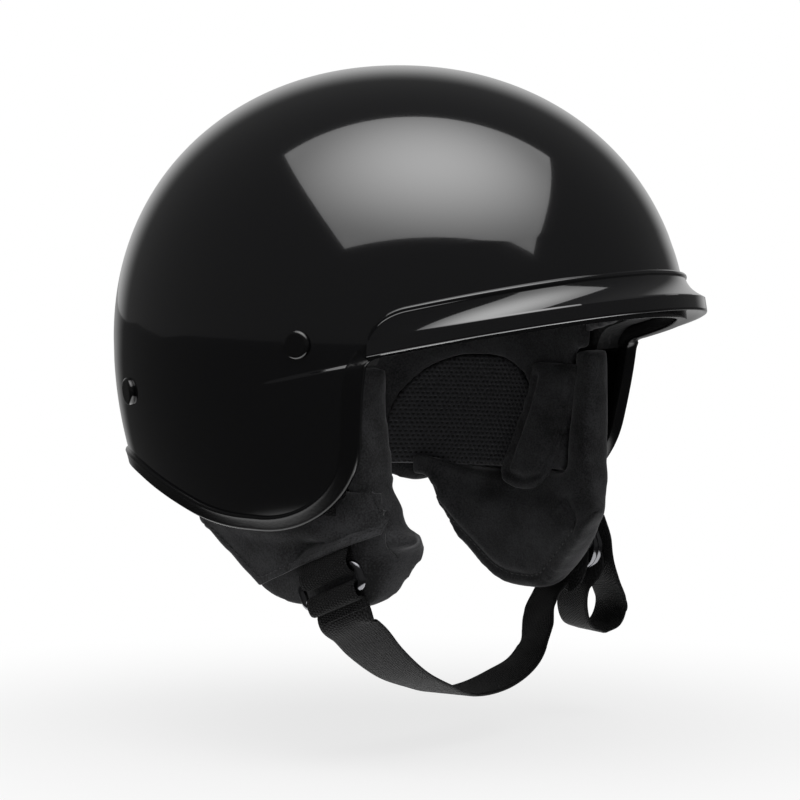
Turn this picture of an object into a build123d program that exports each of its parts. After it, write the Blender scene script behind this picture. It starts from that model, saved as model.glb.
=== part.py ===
from build123d import *
import os
from math import cos, hypot, radians, sin, tan

# Half shell motorcycle helmet, held as the wearer's head holds it.
# Lengths are in millimetres. +Z is up, the front faces -Y and +X is the wearer's left.
# The origin is the middle of the shell at its widest level.

os.makedirs("parts", exist_ok=True)

# Shell
shell_length = 255.0
shell_width = 220.0
crown_height = 116.6
shell_wall = 3.0
crown_power_share = 2.132
girth_power_share = 2.086
tuck_depth = 70.0
tuck_share = 0.114
skirt_depth = 105.0

# Rim of the shell, seen from the side
brow_level = 14.6
brow_slope_deg = 12.2
ear_depth = 74.0
ear_front = 56.8
ear_front_lean = 10.3
rear_rise_start = 21.0
rear_rise_end = 84.0
rear_depth = 52.5
brow_corner_radius = 6.0
ear_corner_radius = 42.0
rear_bend_radius = 80.0

# Trim over the cut edge
trim_wall = 1.3
trim_height = 6.2

# Peak
peak_reach = 10.5
peak_side_reach = 0.6
peak_corner_level = 15.6
peak_rise_share = 0.25
peak_corner_radius = 16.0
peak_band_thickness = 1.3
peak_edge_proud = 2.0
bead_width = 1.8
peak_wall = 2.6
lip_bow = 0.7
lip_height = 6.3
lip_rake = 0.8
flare_height = 9.0

# Liner and pads
layer_gap = 0.3
bond_gap = 0.1
eps_inset = 19.0
comfort_thickness = 5.5
crown_pad_thickness = 6.0
crown_pad_level = 62.0
brow_pad_thickness = 6.5
brow_pad_height = 27.0
brow_pad_back = 46.0
comfort_top = 24.0
comfort_bottom = 59.7
mesh_thickness = 2.0
window_height = 52.0
window_level = 62.0
window_front = 12.0
window_length = 68.0
window_radius = 22.0
temple_thickness = 6.0
temple_length = 52.0
temple_width = 22.0
temple_top = 12.0
temple_tip_radius = 8.5
temple_tip_back = 8.0
roll_hang = 2.5
roll_inset = 19.0

# Ear flaps
hinge_reach = 88.5
hinge_drop = 75.0
flap_outer_reach = 86.6
flap_hang_left = 37.0
flap_hang_right = 29.5
flap_rear = 38.0
flap_tip_back = 0.0
flap_tip_front_left = 27.0
flap_tip_front_right = 44.0
flap_front = 46.0
flap_lobe = 13.0
flap_waist = 5.0
flap_rear_radius = 30.0
flap_tip_radius = 16.0
flap_lobe_radius = 7.0
flap_lean_deg = 8.0
flap_gap = 0.5
cover_thickness = 1.0
slit_height = 6.5
slit_rise = 15.5
slit_length = 62.0
slit_shift = 4.0
pocket_rise = 14.0
anchor_overhang = 0.2
anchor_column = 13.0
anchor_band = 15.0
anchor_inset = 24.8
anchor_rear = 42.0
column_top = 6.0

# Webbing and its rivets
web_width = 25.4
web_thickness = 1.4
web_tilt_deg = 22.5
front_rivet_back = -28.7
front_rivet_level = 3.2
rear_rivet_back = 74.0
rear_rivet_level = -19.9
yoke_back = -22.0
yoke_level = -46.0
yoke_foot = 66.0
leg_width = 20.0
rivet_head_radius = 5.8
rivet_head_height = 2.0
rivet_seat_ring = 0.6
rivet_shank_radius = 2.3
rivet_fit = 0.1
washer_radius = 6.5
washer_wall = 1.5

# Rings
ring_reach = 92.0
ring_back_right = -34.3
ring_back_left = -25.0
ring_drop = 93.8
ring_wire = 3.5
ring_pitch = 10.0
ring_slot = 26.6
loop_clear = 0.6
d_ring_depth = 17.0
d_ring_wire = 3.0
d_ring_gap = 0.6
ring_corner = 3.2
d_ring_corner = 9.0

# Chin strap and its free end
chin_rise_right = 12.0
chin_rise_left = 19.5
chin_points = (
    (-87.0, -38.5, -109.0),
    (-77.4, -38.0, -115.2),
    (-65.0, -36.0, -123.4),
    (-44.0, -34.0, -134.9),
    (-24.5, -33.0, -142.1),
    (-6.0, -32.0, -147.3),
    (18.0, -32.0, -147.6),
    (37.8, -32.0, -143.5),
    (50.5, -31.0, -138.0),
    (60.0, -30.5, -130.5),
    (68.5, -29.5, -122.8),
    (78.0, -29.5, -117.0),
)
chin_width_degs = (
    (22.5, 0),
    (19, 0),
    (15, 0),
    (9, 0),
    (4, 0),
    (0, 0),
    (0, 7),
    (0, 18),
    (3, 25),
    (6, 26),
    (11, 24),
    (17, 14),
)
strap_thickness = 1.6
hook_rise = 4.2
tail_drop = 132.0
tail_bend = 9.5
tail_yaw_deg = 25.0
tail_back = -27.5
tail_reach = 98.6
tail_park_reach = 103.4
tail_top = 85.0
hinge_cut = 0.4
snap_radius = 5.0
snap_post_radius = 2.2
snap_base = 1.0
snap_post = 0.9
snap_clear = 0.5
snap_drop = 103.5

overrun = 60.0

half_length = shell_length / 2
half_width = shell_width / 2
stretch = half_length / half_width
brow_slope = tan(radians(brow_slope_deg))
web_inset = shell_wall + trim_wall + layer_gap
web_inner = web_inset + web_thickness
comfort_inset = eps_inset + layer_gap
comfort_inner = comfort_inset + comfort_thickness
flap_top = hinge_drop + flap_gap


def brow_height(back):
    """Height of the line along the peak's lip, at a distance back from the origin."""
    return -brow_level - brow_slope * back


# Every layer of the helmet is turned round in plan, cut there, and stretched to the real length
climb_angles_deg = (90, 76, 62, 48, 34, 18, 0)
tuck_step_shares = (0.3, 0.6, 1.0)


def girth_at(height, top):
    """Share of the widest girth that is left at a height."""
    if height > 0:
        return (1 - (height / top) ** crown_power_share) ** (1 / girth_power_share)
    return 1 - tuck_share * (height / tuck_depth) ** 2


def wall_line(inset):
    """Points down the shell's outer surface, drawn in by an inset."""
    reach = half_width - inset
    top = crown_height - inset
    heights = [top * sin(radians(angle)) for angle in climb_angles_deg]
    heights += [-skirt_depth * share for share in tuck_step_shares]
    return [(reach * girth_at(height, top), height) for height in heights]


def layer(outer_inset, inner_inset, cut):
    """Round layer between two insets that lies within a cutting prism."""
    tangents = [(1, 0), (-tuck_share * 4, -1)]
    with BuildPart() as piece:
        with BuildSketch(Plane.XZ):
            with BuildLine():
                outer = Spline(*wall_line(outer_inset), tangents=tangents)
                inner = Spline(*wall_line(inner_inset), tangents=tangents)
                Line(outer @ 0, inner @ 0)
                Line(outer @ 1, inner @ 1)
            make_face()
        revolve(axis=Axis.Z)
        add(cut, mode=Mode.INTERSECT)
    return piece.part


def full_dome(inset):
    """Round solid under the shell's outer surface, drawn in by an inset."""
    tangents = [(1, 0), (-tuck_share * 4, -1)]
    with BuildPart() as piece:
        with BuildSketch(Plane.XZ):
            with BuildLine():
                wall = Spline(*wall_line(inset), tangents=tangents)
                Polyline(wall @ 1, (0, -skirt_depth), (0, crown_height - inset))
            make_face()
        revolve(axis=Axis.Z)
    return piece.part


def save(part, name):
    """Name a piece and write its file."""
    part.label = name
    export_step(part, f"parts/{name}.step")


def save_stretched(part, name):
    """Stretch a round piece to the real length of the helmet and write its file."""
    with BuildPart() as real:
        add(part)
        scale(by=(1, stretch, 1))
    save(real.part, name)


def side_cut(face):
    """Prism that cuts the whole helmet along an outline seen from the side."""
    reach = half_width + overrun
    with BuildPart() as prism:
        extrude(to_extrude=face.moved(Location((-reach, 0, 0))), amount=2 * reach, dir=(1, 0, 0))
    return prism.part


def side_outline(points, radii=0, grow=0):
    """Face inside a rounded outline of real (back, height) points, squeezed for the round layers."""
    squeezed = [(back / stretch, height) for back, height in points]
    with BuildSketch(Plane.YZ) as outline:
        with BuildLine():
            if radii:
                FilletPolyline(*squeezed, radius=radii, close=True)
            else:
                Polyline(*squeezed, close=True)
        make_face()
        if grow:
            offset(amount=grow, kind=Kind.INTERSECTION)
    return outline.sketch


def one_side(part, left):
    """The half of a round part on the left (or the right) of the helmet."""
    side = 1 if left else -1
    with BuildPart() as half:
        add(part)
        with Locations((side * half_width, 0, 0)):
            Box(2 * half_width, 4 * half_length, 4 * half_length, mode=Mode.INTERSECT)
    return half.part


# Outline of the cut edge, seen from the side, with the trim on it
far = half_length + overrun
rim_points = (
    (-far, brow_height(-far)),
    (-ear_front, brow_height(-ear_front)),
    (-ear_front + ear_front_lean, -ear_depth),
    (rear_rise_start, -ear_depth + trim_wall),
    (rear_rise_end, -rear_depth),
    (far, -rear_depth + trim_wall),
    (far, crown_height + overrun),
    (-far, crown_height + overrun),
)
rim_radii = (0, brow_corner_radius, ear_corner_radius, rear_bend_radius, rear_bend_radius, 0, 0, 0)


def rim_region(inset):
    """Everything over the rim, with the rim drawn in by an inset."""
    return side_outline(rim_points, rim_radii, -inset)


# Rivets: where they stand on the shell, and their directions
def on_shell(back, level):
    """Point of the left side of the shell at a distance back and a level, and the outward normal."""
    girth = girth_at(level, crown_height)
    across = half_width * (girth**2 - (back / half_length) ** 2) ** 0.5
    if level > 0:
        rise = crown_power_share * (level / crown_height) ** (crown_power_share - 1) / crown_height
        rise = rise / (girth_power_share * girth ** (girth_power_share - 1))
    else:
        rise = 2 * tuck_share * level / tuck_depth**2
    normal = Vector(across / half_width**2 / girth, back / half_length**2 / girth, rise)
    return Vector(across, back, level), normal.normalized()


rivet_planes = []
for back, level in ((front_rivet_back, front_rivet_level), (rear_rivet_back, rear_rivet_level)):
    seat, normal = on_shell(back, level)
    for side in (1, -1):
        rivet_planes.append(
            Plane(
                origin=(side * seat.X, seat.Y, seat.Z),
                x_dir=(0, 0, 1),
                z_dir=(side * normal.X, normal.Y, normal.Z),
            )
        )


def rivet_drill(radius, start, depth):
    """Four drills along the rivets, squeezed for the round layers."""
    with BuildPart() as drills:
        for plane in rivet_planes:
            with BuildSketch(plane.offset(-start)):
                Circle(radius)
            extrude(amount=start - depth)
        scale(by=(1, 1 / stretch, 1))
    return drills.part


# Outer shell
shell_rim = side_cut(rim_region(trim_wall))
with BuildPart() as outer_shell:
    add(layer(0, shell_wall, shell_rim))
    add(rivet_drill(rivet_shank_radius + rivet_fit, -shell_wall, 2 * shell_wall), mode=Mode.SUBTRACT)
save_stretched(outer_shell.part, "outer_shell")

# Trim on the cut edge, from one end of the peak round the back to the other
channel_cut = side_cut(rim_region(trim_wall - bond_gap))
trim_band = side_cut(rim_region(0) - rim_region(trim_height))
behind_peak = side_cut(
    side_outline(
        (
            (-ear_front + layer_gap, far),
            (far, far),
            (far, -far),
            (-ear_front + layer_gap, -far),
        )
    )
)
ahead_of_trim = side_cut(
    side_outline(
        (
            (-far, far),
            (-ear_front, far),
            (-ear_front, -far),
            (-far, -far),
        )
    )
)
channel = layer(-bond_gap, shell_wall + bond_gap, channel_cut)
with BuildPart() as edge_trim:
    add(layer(-trim_wall, shell_wall + trim_wall, trim_band))
    add(behind_peak, mode=Mode.INTERSECT)
    add(channel, mode=Mode.SUBTRACT)
save_stretched(edge_trim.part, "edge_trim")

# Trim under the peak, along the brow
with BuildPart() as brow_trim:
    add(layer(0, shell_wall + trim_wall, trim_band))
    add(ahead_of_trim, mode=Mode.INTERSECT)
    add(channel, mode=Mode.SUBTRACT)
save_stretched(brow_trim.part, "brow_trim")


# Peak: a band bonded on the shell, a bead along its upper edge and a flared lip
def polar_reach(half_x, half_y, azimuth):
    """Distance from the origin to an ellipse in plan, at an angle from the front."""
    return 1 / hypot(sin(azimuth) / half_x, cos(azimuth) / half_y)


flare_shares = (0.35, 0.65, 0.88)
flare_rise_shares = (0.06, 0.28, 0.62)
peak_sections = []
for azimuth_deg in range(-64, 65, 8):
    azimuth = radians(azimuth_deg)
    front_half = (half_length + peak_reach) / stretch
    lip_reach = polar_reach(half_width + peak_side_reach, front_half, azimuth)
    foot = brow_height(-lip_reach * cos(azimuth) * stretch) + lip_bow
    lip_top = foot + lip_height
    flare_top = lip_top + flare_height
    band_reach = half_width * girth_at(flare_top, crown_height) + peak_band_thickness
    under_reach = half_width * girth_at(foot, crown_height)
    plane = Plane(
        origin=(0, 0, 0),
        x_dir=(sin(azimuth), -cos(azimuth), 0),
        z_dir=(-cos(azimuth), -sin(azimuth), 0),
    )
    lip_out = lip_reach - lip_rake - band_reach
    flare = [
        (band_reach + lip_out * rise, flare_top - flare_height * share)
        for share, rise in zip(flare_shares, flare_rise_shares)
    ]
    with BuildSketch(plane) as section:
        with BuildLine():
            curve = Spline((band_reach, flare_top), *flare, (lip_reach - lip_rake, lip_top))
            Polyline(
                curve @ 1,
                (lip_reach, foot + lip_rake),
                (lip_reach - lip_rake, foot),
                (lip_reach - peak_wall, foot + lip_rake),
                (under_reach - peak_wall, foot + peak_wall),
                (under_reach - peak_wall, flare_top),
                curve @ 0,
            )
        make_face()
    peak_sections.append(section.sketch.faces()[0])
with BuildPart() as peak_flare:
    loft(peak_sections)

peak_points = (
    (-far, peak_corner_level + peak_rise_share * (far - ear_front)),
    (-ear_front, peak_corner_level),
    (-ear_front, brow_height(-ear_front) + trim_wall),
    (-far, brow_height(-far) + trim_wall),
)
peak_radii = (0, peak_corner_radius, 0, 0)
peak_outline = side_outline(peak_points, peak_radii)
bead_outline = peak_outline - side_outline(peak_points, peak_radii, -bead_width)
ahead_of_peak_end = side_cut(
    side_outline(((-far, far), (-ear_front, far), (-ear_front, -far), (-far, -far)))
)
with BuildPart() as flare_front:
    add(peak_flare.part)
    add(ahead_of_peak_end, mode=Mode.INTERSECT)
    add(full_dome(-bond_gap), mode=Mode.SUBTRACT)
with BuildPart() as peak:
    add(layer(-peak_band_thickness, -bond_gap, side_cut(peak_outline)))
    add(layer(-peak_edge_proud, -bond_gap, side_cut(bead_outline)))
    add(flare_front.part)
save_stretched(peak.part, "peak")


# Webbing inside the shell: a Y from two rivets on each side
yoke_points = (
    (front_rivet_back - leg_width / 2, front_rivet_level + leg_width / 2),
    (front_rivet_back + leg_width / 2, front_rivet_level + leg_width / 2),
    (front_rivet_back + leg_width / 2, yoke_level + leg_width),
    (rear_rivet_back, rear_rivet_level + leg_width / 2),
    (rear_rivet_back + leg_width / 2, rear_rivet_level - leg_width / 2),
    (yoke_back + web_width / 2, yoke_level - leg_width / 2),
    (yoke_back + web_width / 2, -yoke_foot),
    (yoke_back - web_width / 2, -yoke_foot),
    (yoke_back - web_width / 2, yoke_level),
)
yoke_outline = side_outline(yoke_points)
web_drill = rivet_drill(rivet_shank_radius + rivet_fit, -web_inner, 2 * web_inner)
with BuildPart() as yokes:
    add(layer(web_inset, web_inner, side_cut(yoke_outline)))
    add(web_drill, mode=Mode.SUBTRACT)
save_stretched(one_side(yokes.part, True), "hanger_upper_left")
save_stretched(one_side(yokes.part, False), "hanger_upper_right")



def is_head_rim(edge):
    """Whether an edge is the outer rim of a rivet's head."""
    if edge.radius < rivet_head_radius - rivet_fit:
        return False
    heights = [plane.to_local_coords(edge.arc_center).Z for plane in rivet_planes]
    return any(abs(height - rivet_head_height) < rivet_fit for height in heights)


with BuildPart() as strap_rivets:
    for plane in rivet_planes:
        with BuildSketch(plane):
            Circle(rivet_head_radius)
        extrude(amount=rivet_head_height)
        with BuildSketch(plane):
            Circle(rivet_shank_radius)
        extrude(amount=-web_inner - washer_wall - rivet_seat_ring)
    rims = strap_rivets.edges().filter_by(GeomType.CIRCLE).filter_by(is_head_rim)
    fillet(rims, rivet_head_height - rivet_seat_ring)
save(strap_rivets.part, "strap_rivets")

with BuildPart() as rivet_washers:
    for plane in rivet_planes:
        with BuildSketch(plane.offset(-web_inner - layer_gap)):
            Circle(washer_radius)
            Circle(rivet_shank_radius + rivet_fit, mode=Mode.SUBTRACT)
        extrude(amount=-washer_wall + layer_gap)
save(rivet_washers.part, "rivet_washers")

# Upper part of the ear flaps, inside the shell: a band along the rim and a column up to the brow
anchor_points = (
    (-ear_front + trim_height + layer_gap, -column_top),
    (-ear_front + anchor_column + trim_height, -column_top),
    (-ear_front + anchor_column + trim_height, -hinge_drop + anchor_band),
    (anchor_rear, -hinge_drop + anchor_band),
    (anchor_rear, -hinge_drop - anchor_overhang),
    (-ear_front + anchor_column, -hinge_drop - anchor_overhang),
    (-ear_front + trim_height + layer_gap, -hinge_drop + 2 * anchor_band),
)
anchor_outline = side_outline(anchor_points)
anchors = layer(web_inner + layer_gap, anchor_inset, side_cut(anchor_outline))
save_stretched(one_side(anchors, True), "flap_anchor_left")
save_stretched(one_side(anchors, False), "flap_anchor_right")

# Impact liner, with room for the webbing, the washers and the flap anchors
yoke_room = side_outline(yoke_points, 0, layer_gap)
anchor_room = side_outline(anchor_points, 0, layer_gap)
eps_outline = rim_region(trim_height + layer_gap) - anchor_room
with BuildPart() as eps_liner:
    add(layer(shell_wall + layer_gap, eps_inset, side_cut(eps_outline)))
    add(layer(shell_wall, web_inner + layer_gap, side_cut(yoke_room)), mode=Mode.SUBTRACT)
    add(rivet_drill(washer_radius + layer_gap, 0, web_inner + 2 * washer_wall), mode=Mode.SUBTRACT)
save_stretched(eps_liner.part, "eps_liner")

# Soft pads on the liner
crown_outline = side_outline(
    (
        (-far, crown_pad_level),
        (far, crown_pad_level),
        (far, far),
        (-far, far),
    )
)
crown_pad = layer(comfort_inset, comfort_inset + crown_pad_thickness, side_cut(crown_outline))
save_stretched(crown_pad, "crown_pad")

brow_outline = side_outline(
    (
        (-far, brow_height(-far) + trim_height + layer_gap),
        (-brow_pad_back, brow_height(-brow_pad_back) + trim_height + layer_gap),
        (-brow_pad_back, brow_height(-brow_pad_back) + brow_pad_height),
        (-far, brow_height(-far) + brow_pad_height),
    )
)
brow_pad = layer(comfort_inset, comfort_inset + brow_pad_thickness, side_cut(brow_outline))
save_stretched(brow_pad, "brow_pad")

window_points = (
    (-window_front, -comfort_bottom + layer_gap),
    (window_length - window_front, -comfort_bottom + layer_gap),
    (window_length - window_front, window_height - window_level),
    (-window_front, window_height - window_level),
)
window_radii = (0, 0, 2 * window_radius - window_front, window_radius)
window_outline = side_outline(window_points, window_radii)
comfort_outline = side_outline(
    (
        (-ear_front + anchor_column + trim_height + layer_gap, -comfort_bottom + layer_gap),
        (anchor_rear, -comfort_bottom + layer_gap),
        (rear_rise_end, -rear_depth + trim_height + layer_gap),
        (far, -rear_depth + trim_height + layer_gap),
        (far, comfort_top),
        (-brow_pad_back + layer_gap + bond_gap, comfort_top),
        (-brow_pad_back + layer_gap + bond_gap, -column_top + layer_gap),
        (-ear_front + anchor_column + trim_height + layer_gap, -column_top + layer_gap),
    )
)
comfort_liner = layer(comfort_inset, comfort_inner, side_cut(comfort_outline - window_outline))
save_stretched(comfort_liner, "comfort_liner")

mesh_outline = side_outline(window_points, window_radii, -bond_gap)
mesh_inset = comfort_inset + mesh_thickness
mesh = layer(mesh_inset, mesh_inset + mesh_thickness, side_cut(mesh_outline))
save_stretched(one_side(mesh, True), "mesh_panel_left")
save_stretched(one_side(mesh, False), "mesh_panel_right")

temple_foot = -window_front + temple_tip_back
temple_outline = side_outline(
    (
        (temple_foot - temple_width, -temple_top),
        (temple_foot, -temple_top),
        (temple_foot + temple_tip_back, -temple_top - temple_length),
        (temple_foot - temple_tip_radius, -temple_top - temple_length - temple_tip_radius),
        (temple_foot - temple_width + temple_tip_back, -temple_top - temple_length + temple_tip_back),
    ),
    (0, 0, temple_tip_back, temple_tip_back, 0),
)
temples = layer(comfort_inner + layer_gap, comfort_inner + temple_thickness, side_cut(temple_outline))
save_stretched(one_side(temples, True), "temple_pad_left")
save_stretched(one_side(temples, False), "temple_pad_right")

# Rolled edge at the back of the neck
roll_outline = side_outline(
    (
        (anchor_rear + layer_gap, far),
        (far, far),
        (far, -far),
        (anchor_rear + layer_gap, -far),
    )
)
roll_band = (rim_region(-roll_hang) - rim_region(trim_height - layer_gap)) & roll_outline
save_stretched(layer(web_inset, roll_inset, side_cut(roll_band)), "neck_roll")


# Ear flaps below the rim. They are drawn on the left and mirrored for the right
loop_reach = ring_wire / 2 + loop_clear + web_thickness / 2
pocket_depth = 4 * loop_reach + 2 * layer_gap
right_bar = Vector(ring_reach, ring_back_right, -ring_drop)
left_bar = Vector(ring_reach, ring_back_left, -ring_drop)
flap_girth = girth_at(-hinge_drop, crown_height)


def flap_plan(inset, plane_reach):
    """Plan of a flap's face: it follows the rim, no further out than a plane."""
    with BuildSketch() as plan:
        Ellipse((half_width - inset) * flap_girth, (half_length - inset) * flap_girth)
        with Locations((plane_reach / 2, 0)):
            Rectangle(plane_reach, 2 * half_length, mode=Mode.INTERSECT)
    return plan.sketch


def flap_wall(outer_plan, inner_plan, hang):
    """Upright wall between two plans, below the hinge."""
    with BuildPart() as wall:
        with BuildSketch(Plane.XY.offset(-hinge_drop - 2 * hang)):
            add(outer_plan)
            add(inner_plan, mode=Mode.SUBTRACT)
        extrude(amount=2 * hang)
    return wall.part


def flap_prism(hang, tip_front, lobe):
    """Outline of a flap seen from the side, as a prism across the left half of the helmet."""
    foot = -hinge_drop - hang
    points = [
        (flap_rear, -hinge_drop + hang),
        (flap_rear, -hinge_drop),
        (flap_tip_back, foot),
        (-tip_front, foot),
        (-flap_front - lobe, -hinge_drop - flap_waist),
    ]
    radii = [0, flap_waist, flap_rear_radius, flap_tip_radius, flap_lobe_radius]
    if lobe:
        points.append((-flap_front, -hinge_drop))
        radii.append(flap_waist / 2)
    points.append((-flap_front, -hinge_drop + hang))
    radii.append(0)
    with BuildPart() as prism:
        with BuildSketch(Plane.YZ):
            with BuildLine():
                FilletPolyline(*points, radius=radii, close=True)
            make_face()
        extrude(amount=half_width)
    return prism.part


def below_hinge(lift):
    """Everything under the plane that slopes inwards and down from the hinge."""
    lean = tan(radians(flap_lean_deg))
    top = -flap_top + lift
    with BuildPart() as wedge:
        with BuildSketch(Plane.XZ):
            with BuildLine():
                Polyline(
                    (0, top - hinge_reach * lean),
                    (hinge_reach, top),
                    (2 * hinge_reach, top),
                    (2 * hinge_reach, -far),
                    (0, -far),
                    close=True,
                )
            make_face()
        extrude(amount=half_length, both=True)
    return wedge.part


def across_bar(bar):
    """Plane across a ring's bar: local x runs outwards, local y up along the webbing."""
    tilt = radians(web_tilt_deg)
    return Plane(
        origin=bar,
        x_dir=(1, 0, 0),
        z_dir=(0, -cos(tilt), sin(tilt)),
    )


def slit_prism(bar):
    """Thin prism through the cover where the webbing comes out."""
    with BuildPart() as prism:
        with BuildSketch(across_bar(bar).offset(-slit_length / 2 - slit_shift)):
            with Locations((0, slit_rise)):
                Rectangle(web_width, slit_height)
        extrude(amount=slit_length)
    return prism.part


def web_pocket(bar):
    """Room inside the pad for the webbing."""
    with BuildPart() as room:
        with BuildSketch(across_bar(bar).offset(-web_width / 2 - layer_gap)):
            with BuildLine():
                Polyline(
                    (-pocket_depth, pocket_rise),
                    (0, pocket_rise),
                    (0, slit_rise + slit_height),
                    (-pocket_depth + 2 * web_thickness + layer_gap, slit_rise + slit_height),
                    (-pocket_depth + 2 * web_thickness + layer_gap, web_width * 2),
                    (-pocket_depth, web_width * 2),
                    close=True,
                )
            make_face()
        extrude(amount=web_width + 2 * layer_gap)
    return room.part


cover_plan = flap_plan(web_inset, flap_outer_reach)
cover_inside = flap_plan(web_inset + cover_thickness, flap_outer_reach - cover_thickness)
pad_reach = cover_thickness + bond_gap
pad_plan = flap_plan(web_inset + pad_reach, flap_outer_reach - pad_reach)


def ear_flap(hang, tip_front, bar):
    """Padded body of a flap, with a pocket for the webbing."""
    with BuildPart() as pad:
        add(flap_wall(pad_plan, flap_plan(anchor_inset, half_width), hang))
        add(flap_prism(hang, tip_front, flap_lobe), mode=Mode.INTERSECT)
        add(below_hinge(0), mode=Mode.INTERSECT)
        add(web_pocket(bar), mode=Mode.SUBTRACT)
    return pad.part


def flap_cover(hang, tip_front, bar):
    """Outer skin of a flap, with the slit."""
    with BuildPart() as cover:
        add(flap_wall(cover_plan, cover_inside, hang))
        add(flap_prism(hang, tip_front, 0), mode=Mode.INTERSECT)
        add(below_hinge(0), mode=Mode.INTERSECT)
        add(slit_prism(bar), mode=Mode.SUBTRACT)
    return cover.part


def mirrored(part):
    """The same piece on the right side."""
    return part.mirror(Plane.YZ)


save(ear_flap(flap_hang_left, flap_tip_front_left, left_bar), "ear_flap_left")
save(flap_cover(flap_hang_left, flap_tip_front_left, left_bar), "flap_cover_left")
save(mirrored(ear_flap(flap_hang_right, flap_tip_front_right, right_bar)), "ear_flap_right")
save(mirrored(flap_cover(flap_hang_right, flap_tip_front_right, right_bar)), "flap_cover_right")


# Webbing drawn as a ribbon through points, with the direction of its width at each point
tilt = radians(web_tilt_deg)
along_bar = Vector(0, -cos(tilt), sin(tilt))
up_web = Vector(0, sin(tilt), cos(tilt))


def ribbon(points, widths, thickness, headings=(None, None)):
    """Flat webbing lofted through points, with the headings of its two ends if they are given."""
    sections = []
    last = len(points) - 1
    for index, point in enumerate(points):
        heading = points[min(index + 1, last)] - points[max(index - 1, 0)]
        if index == 0 and headings[0]:
            heading = headings[0]
        if index == last and headings[1]:
            heading = headings[1]
        across = widths[index]
        along = (heading - across * across.dot(heading)).normalized()
        with BuildSketch(Plane(origin=point, x_dir=across, z_dir=along)) as section:
            Rectangle(web_width, thickness)
        sections.append(section.sketch.faces()[0])
    with BuildPart() as web:
        loft(sections, ruled=True)
    return web.part


def at_bar(bar, out, rise):
    """Point near a ring, out from its plane and up along the webbing."""
    return bar + Vector(out, 0, 0) + up_web * rise


bar_rise = ring_pitch / 2
loop_shares = ((-1, 0), (-0.71, -0.71), (0, -1))
exit_shares = ((-3.8, 13), (-3.8, 7), (-3.6, 6.6), (-1.3, 4.8), (-1, 4.25))
return_shares = ((0.85, 0.75), (-0.3, 2.05), (-0.49, 2.45), (-0.49, 2.7))


def hanger_lower(bar, spread):
    """Webbing out of the slit, down behind the ring, round its bar and back up to the seam."""
    path = [(out * loop_reach, rise * loop_reach) for out, rise in exit_shares]
    path += [(out * loop_reach, bar_rise + rise * loop_reach) for out, rise in loop_shares]
    if spread:
        path.append((spread, bar_rise - loop_reach))
    for out, rise in reversed(loop_shares[:2]):
        path.append((spread - out * loop_reach, bar_rise + rise * loop_reach))
    for out, rise in return_shares:
        shift = spread if out > 0 else 0
        path.append((shift + out * loop_reach, bar_rise + rise * loop_reach))
    points = [at_bar(bar, out, rise) for out, rise in path]
    with BuildPart() as web:
        add(ribbon(points, [along_bar] * len(points), web_thickness))
        add(below_hinge(0), mode=Mode.INTERSECT)
    return web.part


d_ring_spread = d_ring_wire + d_ring_gap
save(hanger_lower(left_bar, d_ring_spread), "hanger_lower_left")
save(mirrored(hanger_lower(right_bar, 0)), "hanger_lower_right")


# Rings
def wire_ring(bar, out, depth, wire, top_corner, foot_corner):
    """Ring of round wire in the plane of the webbing, its upper bar held by the loop."""
    half_span = (ring_slot + ring_wire) / 2
    plane = Plane(origin=at_bar(bar, out, 0), x_dir=along_bar, z_dir=(-1, 0, 0))
    with BuildPart() as ring:
        with BuildLine(plane) as path:
            FilletPolyline(
                (half_span, bar_rise),
                (half_span, bar_rise - depth),
                (-half_span, bar_rise - depth),
                (-half_span, bar_rise),
                radius=(top_corner, foot_corner, foot_corner, top_corner),
                close=True,
            )
        wire_line = path.wires()[0]
        with BuildSketch(Plane(origin=wire_line @ 0, z_dir=wire_line % 0)):
            Circle(wire / 2)
        sweep(path=wire_line)
    return ring.part


slip_ring = wire_ring(right_bar, 0, ring_pitch, ring_wire, ring_corner, ring_corner)
save(mirrored(slip_ring), "slip_ring")
d_ring = wire_ring(left_bar, 0, d_ring_depth, d_ring_wire, ring_corner, d_ring_corner)
save(d_ring, "d_ring_inner")
d_ring = wire_ring(left_bar, d_ring_spread, d_ring_depth, d_ring_wire, ring_corner, d_ring_corner)
save(d_ring, "d_ring_outer")

# Chin strap: from the oval ring, under the chin, through the D-rings and down to the bend of its end
strap_reach = ring_wire / 2 + loop_clear + strap_thickness / 2
chin_end_shares = ((-0.46, -4.2), (-0.46, -3.2), (0.9, -1), (1, 0), (0.71, 0.71), (0, 1), (-0.71, 0.71), (-1, 0))
points = []
for out, rise in chin_end_shares:
    near = at_bar(right_bar, out * strap_reach, rise * strap_reach - bar_rise)
    points.append(Vector(-near.X, near.Y, near.Z))
near = at_bar(right_bar, -strap_reach, -chin_rise_right)
points.append(Vector(-near.X, near.Y, near.Z))
points += [Vector(*place) for place in chin_points]
points.append(at_bar(left_bar, -strap_reach, -chin_rise_left))
hook_shares = ((-1, -1), (-0.71, -0.29), (0, 0))
for out, rise in hook_shares:
    points.append(at_bar(left_bar, out * strap_reach, rise * strap_reach - hook_rise))
for out, rise in reversed(hook_shares):
    points.append(at_bar(left_bar, d_ring_spread - out * strap_reach, rise * strap_reach - hook_rise))
points.append(at_bar(left_bar, d_ring_spread + strap_reach, -chin_rise_left))
widths = [along_bar] * (len(chin_end_shares) + 1)
for lean, turn in chin_width_degs:
    level = Vector(-sin(radians(turn)), -cos(radians(turn)), 0)
    widths.append(level * cos(radians(lean)) + Vector(0, 0, sin(radians(lean))))
widths += [along_bar] * (len(points) - len(widths))

yaw = radians(tail_yaw_deg)
tail_out = Vector(cos(yaw), -sin(yaw), 0)
tail_width = Vector(-sin(yaw), -cos(yaw), 0)
tail_foot = Vector(tail_reach, tail_back, -tail_drop)


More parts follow.
